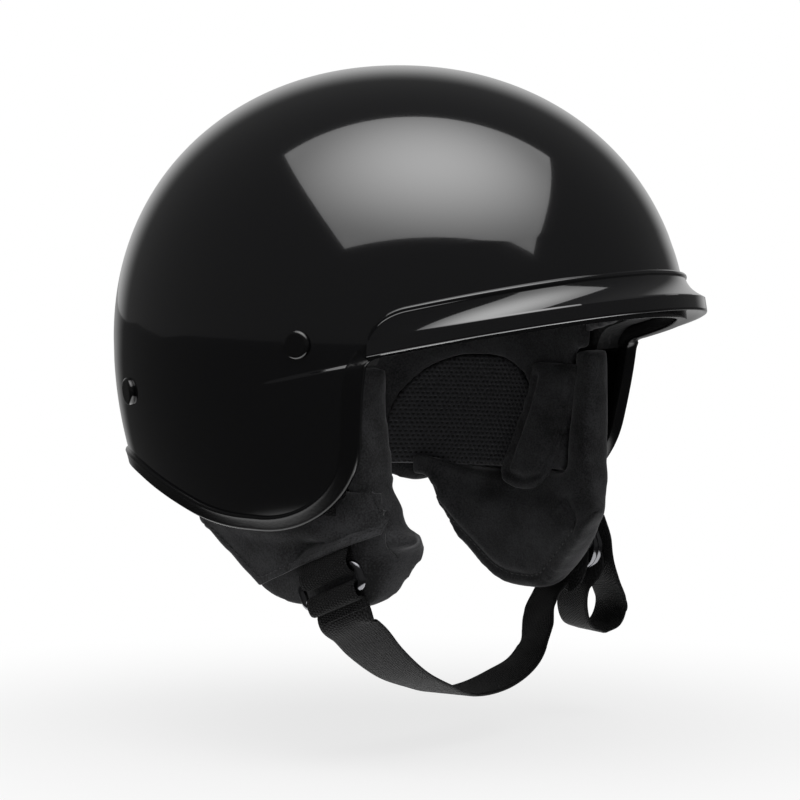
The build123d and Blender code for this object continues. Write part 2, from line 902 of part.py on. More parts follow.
def on_tail(out, rise):
    """Point of the hanging bend, out from its inner strand and up from its foot."""
    return tail_foot + tail_out * out + Vector(0, 0, rise)


points += [
    on_tail(0, tail_bend),
    on_tail(0.29 * tail_bend, 0.29 * tail_bend),
    on_tail(tail_bend - hinge_cut, 0),
]
widths += [tail_width, tail_width, tail_width]
save(ribbon(points, widths, strap_thickness, (None, tail_out)), "chin_strap")

# Free end of the strap: from the bend up to the press stud
park_foot = at_bar(left_bar, 0, -chin_rise_right)
end_points = [
    on_tail(tail_bend, 0),
    on_tail(1.71 * tail_bend, 0.29 * tail_bend),
    on_tail(2 * tail_bend, tail_bend),
    on_tail(1.8 * tail_bend, 1.6 * tail_bend),
    on_tail(1.2 * tail_bend, 2.2 * tail_bend),
    Vector(tail_park_reach, park_foot.Y, park_foot.Z - tail_bend / 2),
    Vector(tail_park_reach, park_foot.Y + strap_thickness, park_foot.Z + snap_radius),
    Vector(tail_park_reach, ring_back_left, -tail_top),
]
end_widths = [tail_width] * 3
end_widths += [(along_bar + tail_width).normalized()] * 2
end_widths += [along_bar] * 3
save(ribbon(end_points, end_widths, strap_thickness, (tail_out, None)), "strap_tail")

# Press stud on the strap, and its socket on the free end
snap_rise = (ring_drop - snap_drop) / cos(tilt)
stud_base = at_bar(left_bar, d_ring_spread + strap_reach + strap_thickness / 2, snap_rise)
with BuildPart() as snap_stud:
    with BuildSketch(Plane(origin=stud_base, x_dir=(0, 1, 0), z_dir=(1, 0, 0))):
        Circle(snap_radius)
    extrude(amount=snap_base)
    with BuildSketch(Plane(origin=stud_base + Vector(snap_base, 0, 0), x_dir=(0, 1, 0), z_dir=(1, 0, 0))):
        Circle(snap_post_radius)
    extrude(amount=snap_post)
save(snap_stud.part, "snap_stud")

socket_top = Vector(tail_park_reach - strap_thickness / 2, stud_base.Y, stud_base.Z)
socket_depth = socket_top.X - stud_base.X - snap_base - snap_clear
with BuildPart() as snap_socket:
    with BuildSketch(Plane(origin=socket_top, x_dir=(0, 1, 0), z_dir=(-1, 0, 0))):
        Circle(snap_radius)
        Circle(snap_post_radius + snap_clear, mode=Mode.SUBTRACT)
    extrude(amount=socket_depth)
save(snap_socket.part, "snap_socket")
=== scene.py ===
import math

import bpy
import numpy as np
from mathutils import Matrix, Vector
from mathutils.bvhtree import BVHTree


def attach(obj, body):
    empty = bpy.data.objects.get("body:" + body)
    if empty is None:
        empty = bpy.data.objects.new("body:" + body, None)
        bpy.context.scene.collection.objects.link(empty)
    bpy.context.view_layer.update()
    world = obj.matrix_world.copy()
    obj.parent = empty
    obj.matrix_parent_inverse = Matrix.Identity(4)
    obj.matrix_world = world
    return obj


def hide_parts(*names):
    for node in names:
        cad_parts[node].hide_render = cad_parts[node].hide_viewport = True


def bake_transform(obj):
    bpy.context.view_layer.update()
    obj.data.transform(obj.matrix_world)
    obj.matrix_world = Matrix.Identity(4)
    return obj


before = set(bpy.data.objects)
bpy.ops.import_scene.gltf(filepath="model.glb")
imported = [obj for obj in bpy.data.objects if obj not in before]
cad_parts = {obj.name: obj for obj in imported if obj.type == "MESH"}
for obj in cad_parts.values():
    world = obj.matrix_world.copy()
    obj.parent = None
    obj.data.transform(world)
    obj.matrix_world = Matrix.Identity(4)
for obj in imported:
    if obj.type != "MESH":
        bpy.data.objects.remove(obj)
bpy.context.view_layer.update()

# Outer shell: one moulding of glass fibre laminate, 3 mm thick, sprayed with black enamel under a clear
# lacquer. It is egg-shaped and tucks in a little below its widest level. Its belt line, a small step,
# runs back from the peak and fades over the ear.
half_width = 0.110
half_length = 0.1275
crown_height = 0.1166
stretch = half_length / half_width
shell_wall = 0.003
crown_power = 2.132
crown_root = 2.086
tuck_depth = 0.070
tuck_share = 0.114
brow_level = -0.0146
brow_slope = 0.2162
belt_level = -0.0155
belt_proud = 0.0011
belt_half_step = 0.0008
belt_fade_levels = (-0.052, -0.018)
belt_fade_backs = (-0.006, -0.045)


def smooth_step(low, high, value):
    """Share from 0 at low to 1 at high, eased at both ends."""
    share = np.clip((value - low) / (high - low), 0, 1)
    return share * share * (3 - 2 * share)


def girth(height):
    """Share of the widest girth left at a height."""
    height = np.asarray(height, float)
    over = np.clip(height, 0, crown_height) / crown_height
    share = np.power(np.clip(1 - over**crown_power, 0, 1), 1 / crown_root)
    return np.where(height > 0, share, 1 - tuck_share * (np.minimum(height, 0) / tuck_depth) ** 2)


def brow_height(back):
    """Height of the line along the brow, at a distance back."""
    return brow_level - brow_slope * back


def belt(back, height):
    """How far the shell stands out under its belt line."""
    level = height + brow_slope * back
    step = smooth_step(belt_level + belt_half_step, belt_level - belt_half_step, level)
    fade_down = smooth_step(*belt_fade_levels, level)
    fade_back = smooth_step(*belt_fade_backs, back)
    return belt_proud * step * fade_down * fade_back


def rounded(points, radii, step):
    """An outline with its corners turned to arcs, as a dense line of points."""
    line = [np.array(points[0], float)]
    for before, corner, after, radius in zip(points, points[1:], points[2:], radii):
        corner = np.array(corner, float)
        come = (np.array(before) - corner) / np.linalg.norm(np.array(before) - corner)
        leave = (np.array(after) - corner) / np.linalg.norm(np.array(after) - corner)
        half_turn = math.acos(np.clip(come @ leave, -1, 1)) / 2
        reach = radius / math.tan(half_turn)
        middle = corner + (come + leave) / np.linalg.norm(come + leave) * radius / math.sin(half_turn)
        count = max(4, int((math.pi - 2 * half_turn) * radius / step))
        for index in range(count + 1):
            chord = corner + come * reach + (leave - come) * reach * index / count
            line.append(middle + (chord - middle) / np.linalg.norm(chord - middle) * radius)
    line.append(np.array(points[-1], float))
    dense = [line[0]]
    for a, b in zip(line, line[1:]):
        count = max(1, int(np.linalg.norm(b - a) / step))
        dense += [a + (b - a) * (index + 1) / count for index in range(count)]
    return np.array(dense)


# The cut edge in the side view, as distance back and height: up over the brow, down in front of the ear
# and round the neck. Its first and last corners lie well past the ends of the shell.
far = 0.1875
brow_end = 0.0568
rim_corners = [
    (-far, brow_height(-far)),
    (-brow_end, brow_height(-brow_end)),
    (-0.0465, -0.074),
    (0.021, -0.0727),
    (0.084, -0.0525),
    (far, -0.0512),
]
rim_radii = [0.006, 0.042, 0.080, 0.080]
rim_line = rounded([(back / stretch, height) for back, height in rim_corners], rim_radii, 0.0015)


def drawn_in(line, inset):
    """A side-view line moved up and inwards by an inset."""
    heading = np.gradient(line, axis=0)
    heading /= np.linalg.norm(heading, axis=1)[:, None]
    return line + np.c_[-heading[:, 1], heading[:, 0]] * inset


def only(piece):
    """Makes a piece the one selected and active object."""
    bpy.ops.object.select_all(action="DESELECT")
    piece.select_set(True)
    bpy.context.view_layer.objects.active = piece


def finish_modifier(piece, kind, **settings):
    """Adds a modifier with its settings and applies it."""
    only(piece)
    modifier = piece.modifiers.new(kind, kind)
    for name, value in settings.items():
        setattr(modifier, name, value)
    bpy.ops.object.modifier_apply(modifier=modifier.name)


def add_sheet(name, places, lengths=None):
    """A grid of columns by rows whose vertices go to places, its UV map from 0 to 1 or to lengths."""
    places = np.asarray(places, float)
    columns, rows = places.shape[:2]
    bpy.ops.object.select_all(action="DESELECT")
    bpy.ops.mesh.primitive_grid_add(
        x_subdivisions=columns - 1, y_subdivisions=rows - 1, size=1, calc_uvs=True
    )
    piece = bpy.context.object
    piece.name = piece.data.name = name
    piece.data.vertices.foreach_set("co", places.transpose(1, 0, 2).reshape(-1, 3).ravel())
    if lengths is not None:
        along, across = lengths
        corners = np.empty(len(piece.data.loops), np.int32)
        piece.data.loops.foreach_get("vertex_index", corners)
        values = np.stack(np.broadcast_arrays(np.asarray(along)[:, None], np.asarray(across)[None, :]), -1)
        values = values.transpose(1, 0, 2).reshape(-1, 2)[corners]
        piece.data.uv_layers[0].data.foreach_set("uv", values.ravel())
    piece.data.update()
    bpy.ops.object.mode_set(mode="EDIT")
    bpy.ops.mesh.select_all(action="SELECT")
    bpy.ops.mesh.remove_doubles(threshold=2e-6)
    bpy.ops.mesh.normals_make_consistent(inside=False)
    bpy.ops.object.mode_set(mode="OBJECT")
    bpy.ops.object.shade_smooth()
    return piece


def linear(code):
    """Linear colour of an sRGB hex code."""
    values = [int(code[index:index + 2], 16) / 255 for index in (0, 2, 4)]
    return (*[v / 12.92 if v <= 0.04045 else ((v + 0.055) / 1.055) ** 2.4 for v in values], 1)


def put(tree, kind, links=(), **settings):
    """Adds a node, sets its properties or inputs by name, and links or puts (input, source) pairs into it."""
    made = tree.nodes.new(kind)
    for name, value in settings.items():
        if hasattr(made, name):
            setattr(made, name, value)
        else:
            made.inputs[name.replace("_", " ")].default_value = value
    for socket, source in links:
        if isinstance(source, bpy.types.NodeSocket):
            tree.links.new(source, made.inputs[socket])
        else:
            made.inputs[socket].default_value = source
    return made


def new_material(name):
    """An empty material, and its node tree."""
    material = bpy.data.materials.new(name)
    material.use_nodes = True
    material.node_tree.nodes.clear()
    return material, material.node_tree


def give(piece, material):
    """Makes a material the only one on a piece."""
    piece.data.materials.clear()
    piece.data.materials.append(material)
    piece.data.polygons.foreach_set("material_index", [0] * len(piece.data.polygons))


# Rows of the shell follow the tilted belt line and turn level towards the crown.
# They lie closest over the step itself.
lowest_row = -0.080
levels = np.r_[
    crown_height * np.sin(np.linspace(math.pi / 2, 0, 80))[1:-10],
    np.linspace(0.0135, belt_level + 0.0030, 14),
    np.arange(belt_level + 0.0020, belt_level - 0.0021, -0.0002),
    np.linspace(belt_level - 0.0035, lowest_row, 32),
]
levels = np.unique(np.round(levels, 6))[::-1]
around = np.linspace(0, 2 * math.pi, 361)
tilt_share = smooth_step(0.100, 0.030, levels)
rows = np.zeros((len(around), len(levels), 3))
for column, turn in enumerate(around):
    height = levels.copy()
    for _ in range(60):
        back = -math.cos(turn) * half_length * girth(height)
        height = 0.5 * height + 0.5 * np.minimum(levels - tilt_share * brow_slope * back, crown_height)
    share = girth(height)
    back = -math.cos(turn) * half_length * share
    out = half_width * share + belt(back, height)
    rows[column] = np.c_[math.sin(turn) * out, -math.cos(turn) * out * stretch, height]
rows[-1] = rows[0]
crown = np.tile([0, 0, crown_height], (len(around), 1, 1))
shell = add_sheet("shell", np.concatenate([crown, rows], axis=1))
# What is past the cut edge goes, and the edge that is left moves on to the cut line, inside the trim.
trim_over_edge = 0.0020
cut_line = drawn_in(rim_line, trim_over_edge)
cut_line[:, 0] *= stretch


def nearest_on_cut(back, height):
    """The nearest point of the cut line in the side view, and on which side of it the point is."""
    apart = np.hypot(cut_line[:, 0] - back, cut_line[:, 1] - height)
    index = int(np.clip(np.argmin(apart), 1, len(cut_line) - 2))
    heading = cut_line[index + 1] - cut_line[index - 1]
    offset = np.array([back, height]) - cut_line[index]
    side = heading[0] * offset[1] - heading[1] * offset[0]
    return cut_line[index], side > 0


bpy.ops.object.mode_set(mode="EDIT")
bpy.ops.mesh.select_mode(type="FACE")
bpy.ops.mesh.select_all(action="DESELECT")
bpy.ops.object.mode_set(mode="OBJECT")
for polygon in shell.data.polygons:
    _, inside = nearest_on_cut(polygon.center.y, polygon.center.z)
    polygon.select = not inside
bpy.ops.object.mode_set(mode="EDIT")
bpy.ops.mesh.delete(type="FACE")
bpy.ops.mesh.select_mode(type="VERT")
bpy.ops.mesh.select_all(action="DESELECT")
bpy.ops.mesh.select_non_manifold()
bpy.ops.object.mode_set(mode="OBJECT")
for vertex in shell.data.vertices:
    if vertex.select and vertex.co.z < 0.05:
        (back, height), _ = nearest_on_cut(vertex.co.y, vertex.co.z)
        reach = half_width * float(girth(height)) + float(belt(back, height))
        across = math.sqrt(max(reach**2 - (back / stretch) ** 2, 0))
        vertex.co = (math.copysign(across, vertex.co.x), back, height)
finish_modifier(shell, "SOLIDIFY", thickness=shell_wall, offset=-1, use_even_offset=True)
only(shell)
bpy.ops.object.shade_smooth_by_angle(angle=math.radians(50))

# Black lacquer: clear coat over near-black enamel. It mirrors the lamps sharply and shows little else.
# Sprayed lacquer has a very faint orange peel, about 2 mm across.
lacquer, tree = new_material("black clear lacquer")
place = put(tree, "ShaderNodeTexCoord")
peel = put(tree, "ShaderNodeTexNoise", [("Vector", place.outputs["Object"])], Scale=450.0, Detail=1.0)
relief = put(tree, "ShaderNodeBump", [("Height", peel.outputs["Fac"])], Strength=0.02, Distance=0.0003)
paint = put(
    tree,
    "ShaderNodeBsdfPrincipled",
    [("Normal", relief.outputs["Normal"])],
    Base_Color=linear("08080a"),
    Roughness=0.10,
    IOR=1.6,
    Coat_Weight=1.0,
    Coat_Roughness=0.03,
    Coat_IOR=1.6,
)
put(tree, "ShaderNodeOutputMaterial", [("Surface", paint.outputs["BSDF"])])
give(shell, lacquer)
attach(shell, "root")
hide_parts("outer_shell")

# Peak: a short injection moulded visor, lacquered with the shell and bonded round its brow. A fine bead
# stands along its upper edge, and below it the face flares out to an upright lip over the forehead.
peak_top = 0.0156
peak_slope = 0.25
peak_front = 0.1240
peak_corner = 0.016
peak_reach = 0.0105
peak_skin = 0.0012
bead_proud = 0.0008
bead_foot = 0.0036
flare_height = 0.009
lip_height = 0.0063
lip_lean = 0.0008
lip_round_height = 0.0012
lip_round_depth = 0.0008
glue = 0.0001
seat_rise = 0.0026
peak_corners = [
    (-far / stretch, peak_top + peak_slope * (far - brow_end)),
    (-brow_end / stretch, peak_top),
    (-brow_end / stretch, -0.0015),
]
peak_line = rounded(peak_corners, [peak_corner], 0.0008)
upper_edge = []
for back, high in peak_line:
    reach = half_width * float(girth(high))
    if abs(back) < reach:
        upper_edge.append((math.acos(-back / reach), high))
upper_edge.insert(0, (0.0, peak_top + peak_slope * (peak_front - brow_end)))
upper_edge = np.array(upper_edge)
upper_edge = np.vstack([upper_edge[:0:-1] * (-1, 1), upper_edge])
length = np.r_[0, np.cumsum(np.hypot(np.diff(upper_edge[:, 0]) * half_width, np.diff(upper_edge[:, 1])))]
spread = np.linspace(0, length[-1], 360)
turns = np.interp(spread, length, upper_edge[:, 0])
tops = np.interp(spread, length, upper_edge[:, 1])
front_half = (half_length + peak_reach) / stretch
peak_places = []
for turn, top in zip(turns, tops):
    lip = 1 / math.hypot(math.sin(turn) / (half_width + 0.0006), math.cos(turn) / front_half)
    foot = brow_height(-lip * math.cos(turn) * stretch) + 0.0007
    foot = min(foot, top - 0.0002)
    lip_top = foot + lip_height
    flare_top = lip_top + flare_height
    drops = np.r_[
        np.linspace(0, bead_foot, 14)[:-1],
        np.linspace(bead_foot, max(top - foot, bead_foot + 0.0001), 34),
    ]
    drops = np.minimum(drops, top - foot)
    # The face, from its upper edge down: the bead, the flare and the upright lip with its rounded foot.
    high = top - drops
    base = half_width * girth(high)
    bead = peak_skin + bead_proud * np.clip(1 - (drops / 0.0019 - 0.45) ** 2 / 0.6, 0, 1)
    bead = bead * np.clip(drops / 0.0003, 0, 1) + glue
    share = np.clip((flare_top - high) / flare_height, 0, 1)
    out = lip - lip_lean - base - peak_skin
    flared = base + bead + out * (0.25 * share + 0.75 * share**3) * (share < 1) + out * (share >= 1)
    lipped = lip - lip_lean + lip_lean * np.clip((lip_top - high) / 0.0055, 0, 1)
    face = np.where(high <= lip_top, lipped, np.minimum(flared, lipped))
    face = np.where(high > flare_top, base + bead, face)
    round_off = np.clip((high - foot) / lip_round_height, 0, 1)
    face = face - lip_round_depth * (1 - np.sqrt(np.clip(1 - (1 - round_off) ** 2, 0, 1)))
    # Under the lip it turns back in, and then it lies against the shell up to its upper edge.
    inner = half_width * float(girth(foot + seat_rise)) + glue
    under = [
        (lip - 0.0022, foot),
        (lip - 0.0030, foot + 0.0006),
        (max(inner, lip - 0.02), foot + 0.0020),
        (inner, foot + seat_rise),
    ]
    under = [(min(r, face[-1]), min(h, top)) for r, h in under]
    seat = np.linspace(min(foot + seat_rise, top), top, 6)
    back_face = [(half_width * float(girth(h)) + glue, h) for h in seat]
    ring = list(zip(face, high)) + under + back_face
    peak_places.append([(math.sin(turn) * r, -math.cos(turn) * r * stretch, h) for r, h in ring])
peak = add_sheet("peak", peak_places)
only(peak)
bpy.ops.object.shade_smooth_by_angle(angle=math.radians(50))
# The same lacquer as on the shell, over a moulded face that is a little less flat, so that its mirrored
# light is a little softer.
visor_paint, tree = new_material("black visor lacquer")
paint = put(
    tree,
    "ShaderNodeBsdfPrincipled",
    Base_Color=linear("08080a"),
    Roughness=0.10,
    IOR=1.6,
    Coat_Weight=1.0,
    Coat_Roughness=0.04,
    Coat_IOR=1.6,
)
put(tree, "ShaderNodeOutputMaterial", [("Surface", paint.outputs["BSDF"])])
give(peak, visor_paint)
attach(peak, "root")
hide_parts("peak")

# Edge trim: a U-shaped channel of satin black vinyl pressed over the cut edge of the shell. It runs
# from one end of the peak, round the ears and the neck, to the other end.
trim_height = 0.0062
peak_end = 0.0581 / stretch
front_turn = -0.070
rear_turn = 0.085


def surface(back, height):
    """Points of the shell's right half over side-view points, and the outward directions there."""
    reach = half_width * girth(height) + belt(back * stretch, height)
    across = np.sqrt(np.maximum(reach**2 - back**2, 0))
    rise = (girth(height + 1e-4) - girth(height - 1e-4)) / 2e-4 * half_width
    points = np.stack([-across, back * stretch, height], -1)
    outward = np.stack([-across / reach, back / reach / stretch, -rise], -1)
    return points, outward / np.linalg.norm(outward, axis=-1)[..., None]


def crossing(line, from_index, ahead):
    """Index, with its fraction, where a side-view line leaves the shell at the front or the back."""
    over = half_width * girth(line[:, 1]) - np.abs(line[:, 0])
    order = range(from_index, 0, -1) if ahead else range(from_index, len(line) - 1)
    for index in order:
        beyond = index - 1 if ahead else index + 1
        if over[beyond] < 0:
            return index + (beyond - index) * over[index] / (over[index] - over[beyond])
    raise ValueError("the line stays on the shell")


def along_rim(profile, count, ahead):
    """Rings of a profile of (up from the edge, out from the shell) along the rim, from the peak's end."""
    start = float(np.interp(-peak_end, rim_line[:, 0], np.arange(len(rim_line))))
    turn_back = front_turn if ahead else rear_turn
    turn = int(np.argmin(np.abs(rim_line[:, 0] - turn_back)))
    end = crossing(rim_line, turn, ahead)
    fine = np.linspace(start, end, 4000)
    indices = np.arange(len(rim_line))
    base = np.c_[np.interp(fine, indices, rim_line[:, 0]), np.interp(fine, indices, rim_line[:, 1])]
    points, _ = surface(base[:, 0], base[:, 1])
    length = np.r_[0, np.cumsum(np.linalg.norm(np.diff(points, axis=0), axis=1))]
    marks = np.interp(np.linspace(0, length[-1], count), length, fine)
    rings = []
    for up, out in profile:
        line = drawn_in(rim_line, up)
        stop = crossing(line, turn, ahead)
        past_turn = (marks < turn) if ahead else (marks > turn)
        moved = np.where(past_turn, turn + (marks - turn) * (stop - turn) / (end - turn), marks)
        points, outward = surface(*(np.interp(moved, indices, line[:, axis]) for axis in (0, 1)))
        points[-1, 0] = 0
        outward[-1, 0] = 0
        rings.append(points + outward * out)
    half = np.array(rings).transpose(1, 0, 2)
    other = half[-2::-1] * (-1, 1, 1)
    return np.concatenate([half, other])


def add_channel(name, profile, count, ahead):
    """A channel along the rim with closed ends."""
    rings = along_rim(profile + profile[:1], count, ahead)
    middle_first = np.repeat(rings[:1, :-1].mean(axis=1, keepdims=True), len(profile) + 1, axis=1)
    middle_last = np.repeat(rings[-1:, :-1].mean(axis=1, keepdims=True), len(profile) + 1, axis=1)
    rings = np.concatenate([middle_first, rings, middle_last])
    piece = add_sheet(name, rings)
    only(piece)
    bpy.ops.object.shade_smooth_by_angle(angle=math.radians(60))
    return piece


trim_profile = [
    (trim_height, -0.0002),
    (trim_height, 0.0006),
    (trim_height - 0.0002, 0.0011),
    (trim_height - 0.0007, 0.0014),
    (trim_height - 0.0012, 0.0013),
    (0.0040, 0.00125),
    (0.0022, 0.00125),
    (0.0011, 0.0013),
    (0.0006, 0.00135),
    (0.0002, 0.0010),
    (0, 0.0004),
    (-0.0001, -0.0015),
    (0, -0.0034),
    (0.0003, -0.0040),
    (0.0009, -0.0043),
    (0.0052, -0.0043),
    (0.0059, -0.0040),
    (trim_height, -0.0034),
]
edge_trim = add_channel("edge_channel", trim_profile, count=420, ahead=False)
# Extruded vinyl has a satin shine, and a fine, shallow grain, about 1 mm across.
vinyl, tree = new_material("black vinyl edging")
place = put(tree, "ShaderNodeTexCoord")
grain = put(tree, "ShaderNodeTexNoise", [("Vector", place.outputs["Object"])], Scale=900.0, Detail=2.0)
relief = put(tree, "ShaderNodeBump", [("Height", grain.outputs["Fac"])], Strength=0.12, Distance=0.0002)
paint = put(
    tree,
    "ShaderNodeBsdfPrincipled",
    [("Normal", relief.outputs["Normal"])],
    Base_Color=linear("0f0f10"),
    Roughness=0.2,
    IOR=1.5,
)
put(tree, "ShaderNodeOutputMaterial", [("Surface", paint.outputs["BSDF"])])
give(edge_trim, vinyl)
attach(edge_trim, "root")
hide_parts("edge_trim")

# Brow trim: the same channel along the front edge, with its outer side behind the peak. Only its lower
# edge shows, as a thin line under the lip.
brow_profile = [(up, min(out, 0.0)) for up, out in trim_profile]
brow_trim = add_channel("brow_channel", brow_profile, count=160, ahead=True)
give(brow_trim, vinyl)
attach(brow_trim, "root")
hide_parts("brow_trim")

# Impact liner: black expanded polystyrene, steam moulded and glued into the shell. Its beads, 2 to
# 3 mm across, show wherever the pads leave it bare.
foam, tree = new_material("black expanded polystyrene")
place = put(tree, "ShaderNodeTexCoord")
beads = put(tree, "ShaderNodeTexVoronoi", [("Vector", place.outputs["Object"])], Scale=380.0)
relief = put(
    tree,
    "ShaderNodeBump",
    [("Height", beads.outputs["Distance"])],
    invert=True,
    Strength=0.5,
    Distance=0.0006,
)
gloss = put(
    tree,
    "ShaderNodeMapRange",
    [("Value", beads.outputs["Distance"])],
    From_Min=0.2,
    From_Max=0.9,
    To_Min=0.75,
    To_Max=0.55,
)
paint = put(
    tree,
    "ShaderNodeBsdfPrincipled",
    [("Normal", relief.outputs["Normal"]), ("Roughness", gloss.outputs[0])],
    Base_Color=linear("161617"),
)
put(tree, "ShaderNodeOutputMaterial", [("Surface", paint.outputs["BSDF"])])
give(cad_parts["eps_liner"], foam)


# Ear pads: each is one cushion of brushed microfibre over soft foam, sewn round its edge. It hangs out
# of the shell between the liner and the chin strap's webbing, and bends where it leaves the rim.
def copy_of(name, *nodes):
    """One new piece with the merged meshes of CAD nodes."""
    bpy.ops.object.select_all(action="DESELECT")
    for node in nodes:
        piece = bpy.data.objects.new(name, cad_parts[node].data.copy())
        bpy.context.scene.collection.objects.link(piece)
        piece.select_set(True)
        bpy.context.view_layer.objects.active = piece
    if len(nodes) > 1:
        bpy.ops.object.join()
    piece = bpy.context.view_layer.objects.active
    piece.name = piece.data.name = name
    bpy.ops.object.mode_set(mode="EDIT")
    bpy.ops.mesh.select_all(action="SELECT")
    bpy.ops.mesh.remove_doubles(threshold=1e-5)
    bpy.ops.object.mode_set(mode="OBJECT")
    return piece


def places_of(piece):
    """The vertices of a piece, as rows."""
    places = np.empty(len(piece.data.vertices) * 3)
    piece.data.vertices.foreach_get("co", places)
    return places.reshape(-1, 3)


def move_to(piece, places):
    """Puts the vertices of a piece at places."""
    piece.data.vertices.foreach_set("co", np.asarray(places, float).ravel())
    piece.data.update()


def soften(piece, voxel, rounds, pressure, cap, shaping=None):
    """Turns a block into a cushion: remeshed, rounded, blown up a little as cloth, and smoothed."""
    finish_modifier(piece, "REMESH", mode="VOXEL", voxel_size=voxel, use_smooth_shade=True)
    if shaping:
        move_to(piece, shaping(places_of(piece)))
    finish_modifier(piece, "SMOOTH", factor=0.5, iterations=rounds)
    before = places_of(piece)
    cloth = piece.modifiers.new("cloth", "CLOTH")
    cloth.settings.use_pressure = True
    cloth.settings.uniform_pressure_force = pressure
    cloth.settings.effector_weights.gravity = 0
    cloth.point_cache.frame_start = 1
    cloth.point_cache.frame_end = 20
    for number in range(1, 21):
        bpy.context.scene.frame_set(number)
    only(piece)
    bpy.ops.object.modifier_apply(modifier=cloth.name)
    bpy.context.scene.frame_set(1)
    moved = places_of(piece) - before
    length = np.linalg.norm(moved, axis=1)
    share = np.minimum(1, cap / np.maximum(length, 1e-9))
    move_to(piece, before + moved * share[:, None])
    finish_modifier(piece, "SMOOTH", factor=0.5, iterations=2)
    finish_modifier(piece, "SUBSURF", levels=1, render_levels=1)
    only(piece)
    bpy.ops.object.shade_smooth()


# Brushed microfibre: matt, with a faint bloom at its outline. The nap is 0.1 mm fine and drawn at 0.8 mm
# so that it shows, with soft patches 15 mm wide where it lies over.
suede, tree = new_material("brushed microfibre")
place = put(tree, "ShaderNodeTexCoord")
nap = put(tree, "ShaderNodeTexNoise", [("Vector", place.outputs["Object"])], Scale=1300.0, Detail=3.0)
patches = put(tree, "ShaderNodeTexNoise", [("Vector", place.outputs["Object"])], Scale=60.0, Detail=3.0)
creases = put(
    tree, "ShaderNodeTexNoise", [("Vector", place.outputs["Object"])], Scale=70.0, Detail=2.0, Distortion=0.6
)
both = put(tree, "ShaderNodeMath", [(0, nap.outputs["Fac"]), (1, patches.outputs["Fac"])], operation="ADD")
tint = put(tree, "ShaderNodeMapRange", [("Value", both.outputs[0])], From_Min=0.82, From_Max=1.22)
colour = put(tree, "ShaderNodeMix", [("Factor", tint.outputs[0])], data_type="RGBA")
colour.inputs["A"].default_value = linear("151516")
colour.inputs["B"].default_value = linear("3a3a3c")
waves = put(tree, "ShaderNodeBump", [("Height", creases.outputs["Fac"])], Strength=0.35, Distance=0.0025)
relief = put(
    tree,
    "ShaderNodeBump",
    [("Height", nap.outputs["Fac"]), ("Normal", waves.outputs["Normal"])],
    Strength=0.5,
    Distance=0.0003,
)
paint = put(
    tree,
    "ShaderNodeBsdfPrincipled",
    [("Base Color", colour.outputs["Result"]), ("Normal", relief.outputs["Normal"])],
    Roughness=0.9,
    Sheen_Weight=0.8,
    Sheen_Roughness=0.4,
    Sheen_Tint=linear("9a9a9c"),
)
put(tree, "ShaderNodeOutputMaterial", [("Surface", paint.outputs["BSDF"])])

hinge_level = -0.075
hinge_out = 0.0885
slant_out, slant_back = 0.588, 0.809
seam_depth = 0.0016
ear_pads = {}


def cut_of_pad(side):
    """How the points of a pad's block move so that it gets the real pad's cut."""

    def shaped(points):
        points = points.copy()
        # The gusset at the front joins the two faces, and the top corner at the back is rounded off.
        drop = np.interp(
            points[:, 2],
            [-0.094, -0.084, -0.0805, -0.0785, -0.076, -0.066, -0.060, -0.055],
            [0, 0, 0.003, 0.006, 0.0155, 0.0105, 0.006, 0],
        )
        if side < 0:
            points[:, 1] -= drop * smooth_step(-0.034, -0.048, points[:, 1])
            # Its front edge is cut to one soft curve, on a slant that turns it out from the face.
            reach = np.interp(
                points[:, 2],
                [-0.105, -0.0981, -0.0902, -0.0834, -0.0760, -0.0658, -0.0574],
                [0.0006, 0.0032, 0.0086, 0.0111, 0.0099, 0.0039, 0.0010],
            )
            points[:, 1] = np.maximum(points[:, 1], (slant_out * points[:, 0] - reach) / slant_back)
            return points
        edge = np.interp(
            points[:, 2],
            [-0.083, -0.078, -0.072, -0.063, -0.055, -0.045],
            [0, 0.0070, 0.0095, 0.0065, 0.0030, 0],
        )
        points[:, 1] -= edge * smooth_step(-0.034, -0.044, points[:, 1])
        reach = np.interp(
            points[:, 2],
            [-0.0925, -0.0865, -0.0758, -0.0720, -0.0590],
            [0.0838, 0.0865, 0.0894, 0.0905, 0.0923],
        )
        points[:, 1] = np.maximum(points[:, 1], (slant_out * points[:, 0] - reach) / slant_back)
        corner = smooth_step(0.014, 0.038, points[:, 1]) * smooth_step(-0.056, -0.066, points[:, 2])
        points[:, 2] += 0.011 * corner * smooth_step(-0.100, -0.076, points[:, 2])
        return points

    return shaped


def press_seam(piece, line, side):
    """Draws a seam into the inner face of a pad, along a line in the side view."""
    points = places_of(piece)
    normals = np.empty(points.size)
    piece.data.vertices.foreach_get("normal", normals)
    normals = normals.reshape(-1, 3)
    apart = np.min(np.linalg.norm(points[:, None, 1:] - line[None, :, :], axis=2), axis=1)
    facing = normals[:, 0] * -side > 0.3
    depth = seam_depth * np.exp(-((apart / seam_depth) ** 2)) * facing
    move_to(piece, points - normals * depth[:, None])


seam_of_pad = {}
pad_outlines = {}
for side, hang, tip_front in ((-1, 0.0295, 0.044), (1, 0.037, 0.027)):
    foot = hinge_level - hang
    corners = [(0.038, -0.062), (0.038, -0.075), (0, foot), (-tip_front, foot)]
    corners += [(-0.059, -0.080), (-0.046, -0.062)]
    pad_outlines[side] = np.array(rounded(corners, [0.005, 0.030, 0.016, 0.007], 0.0008))
    corners = [(0.031, -0.070), (0.031, -0.076), (-0.002, foot + 0.006), (-tip_front + 0.003, foot + 0.006)]
    corners += [(-0.050, -0.081), (-0.040, -0.070)]
    seam_of_pad[side] = np.array(rounded(corners, [0.004, 0.026, 0.012, 0.006], 0.0008))

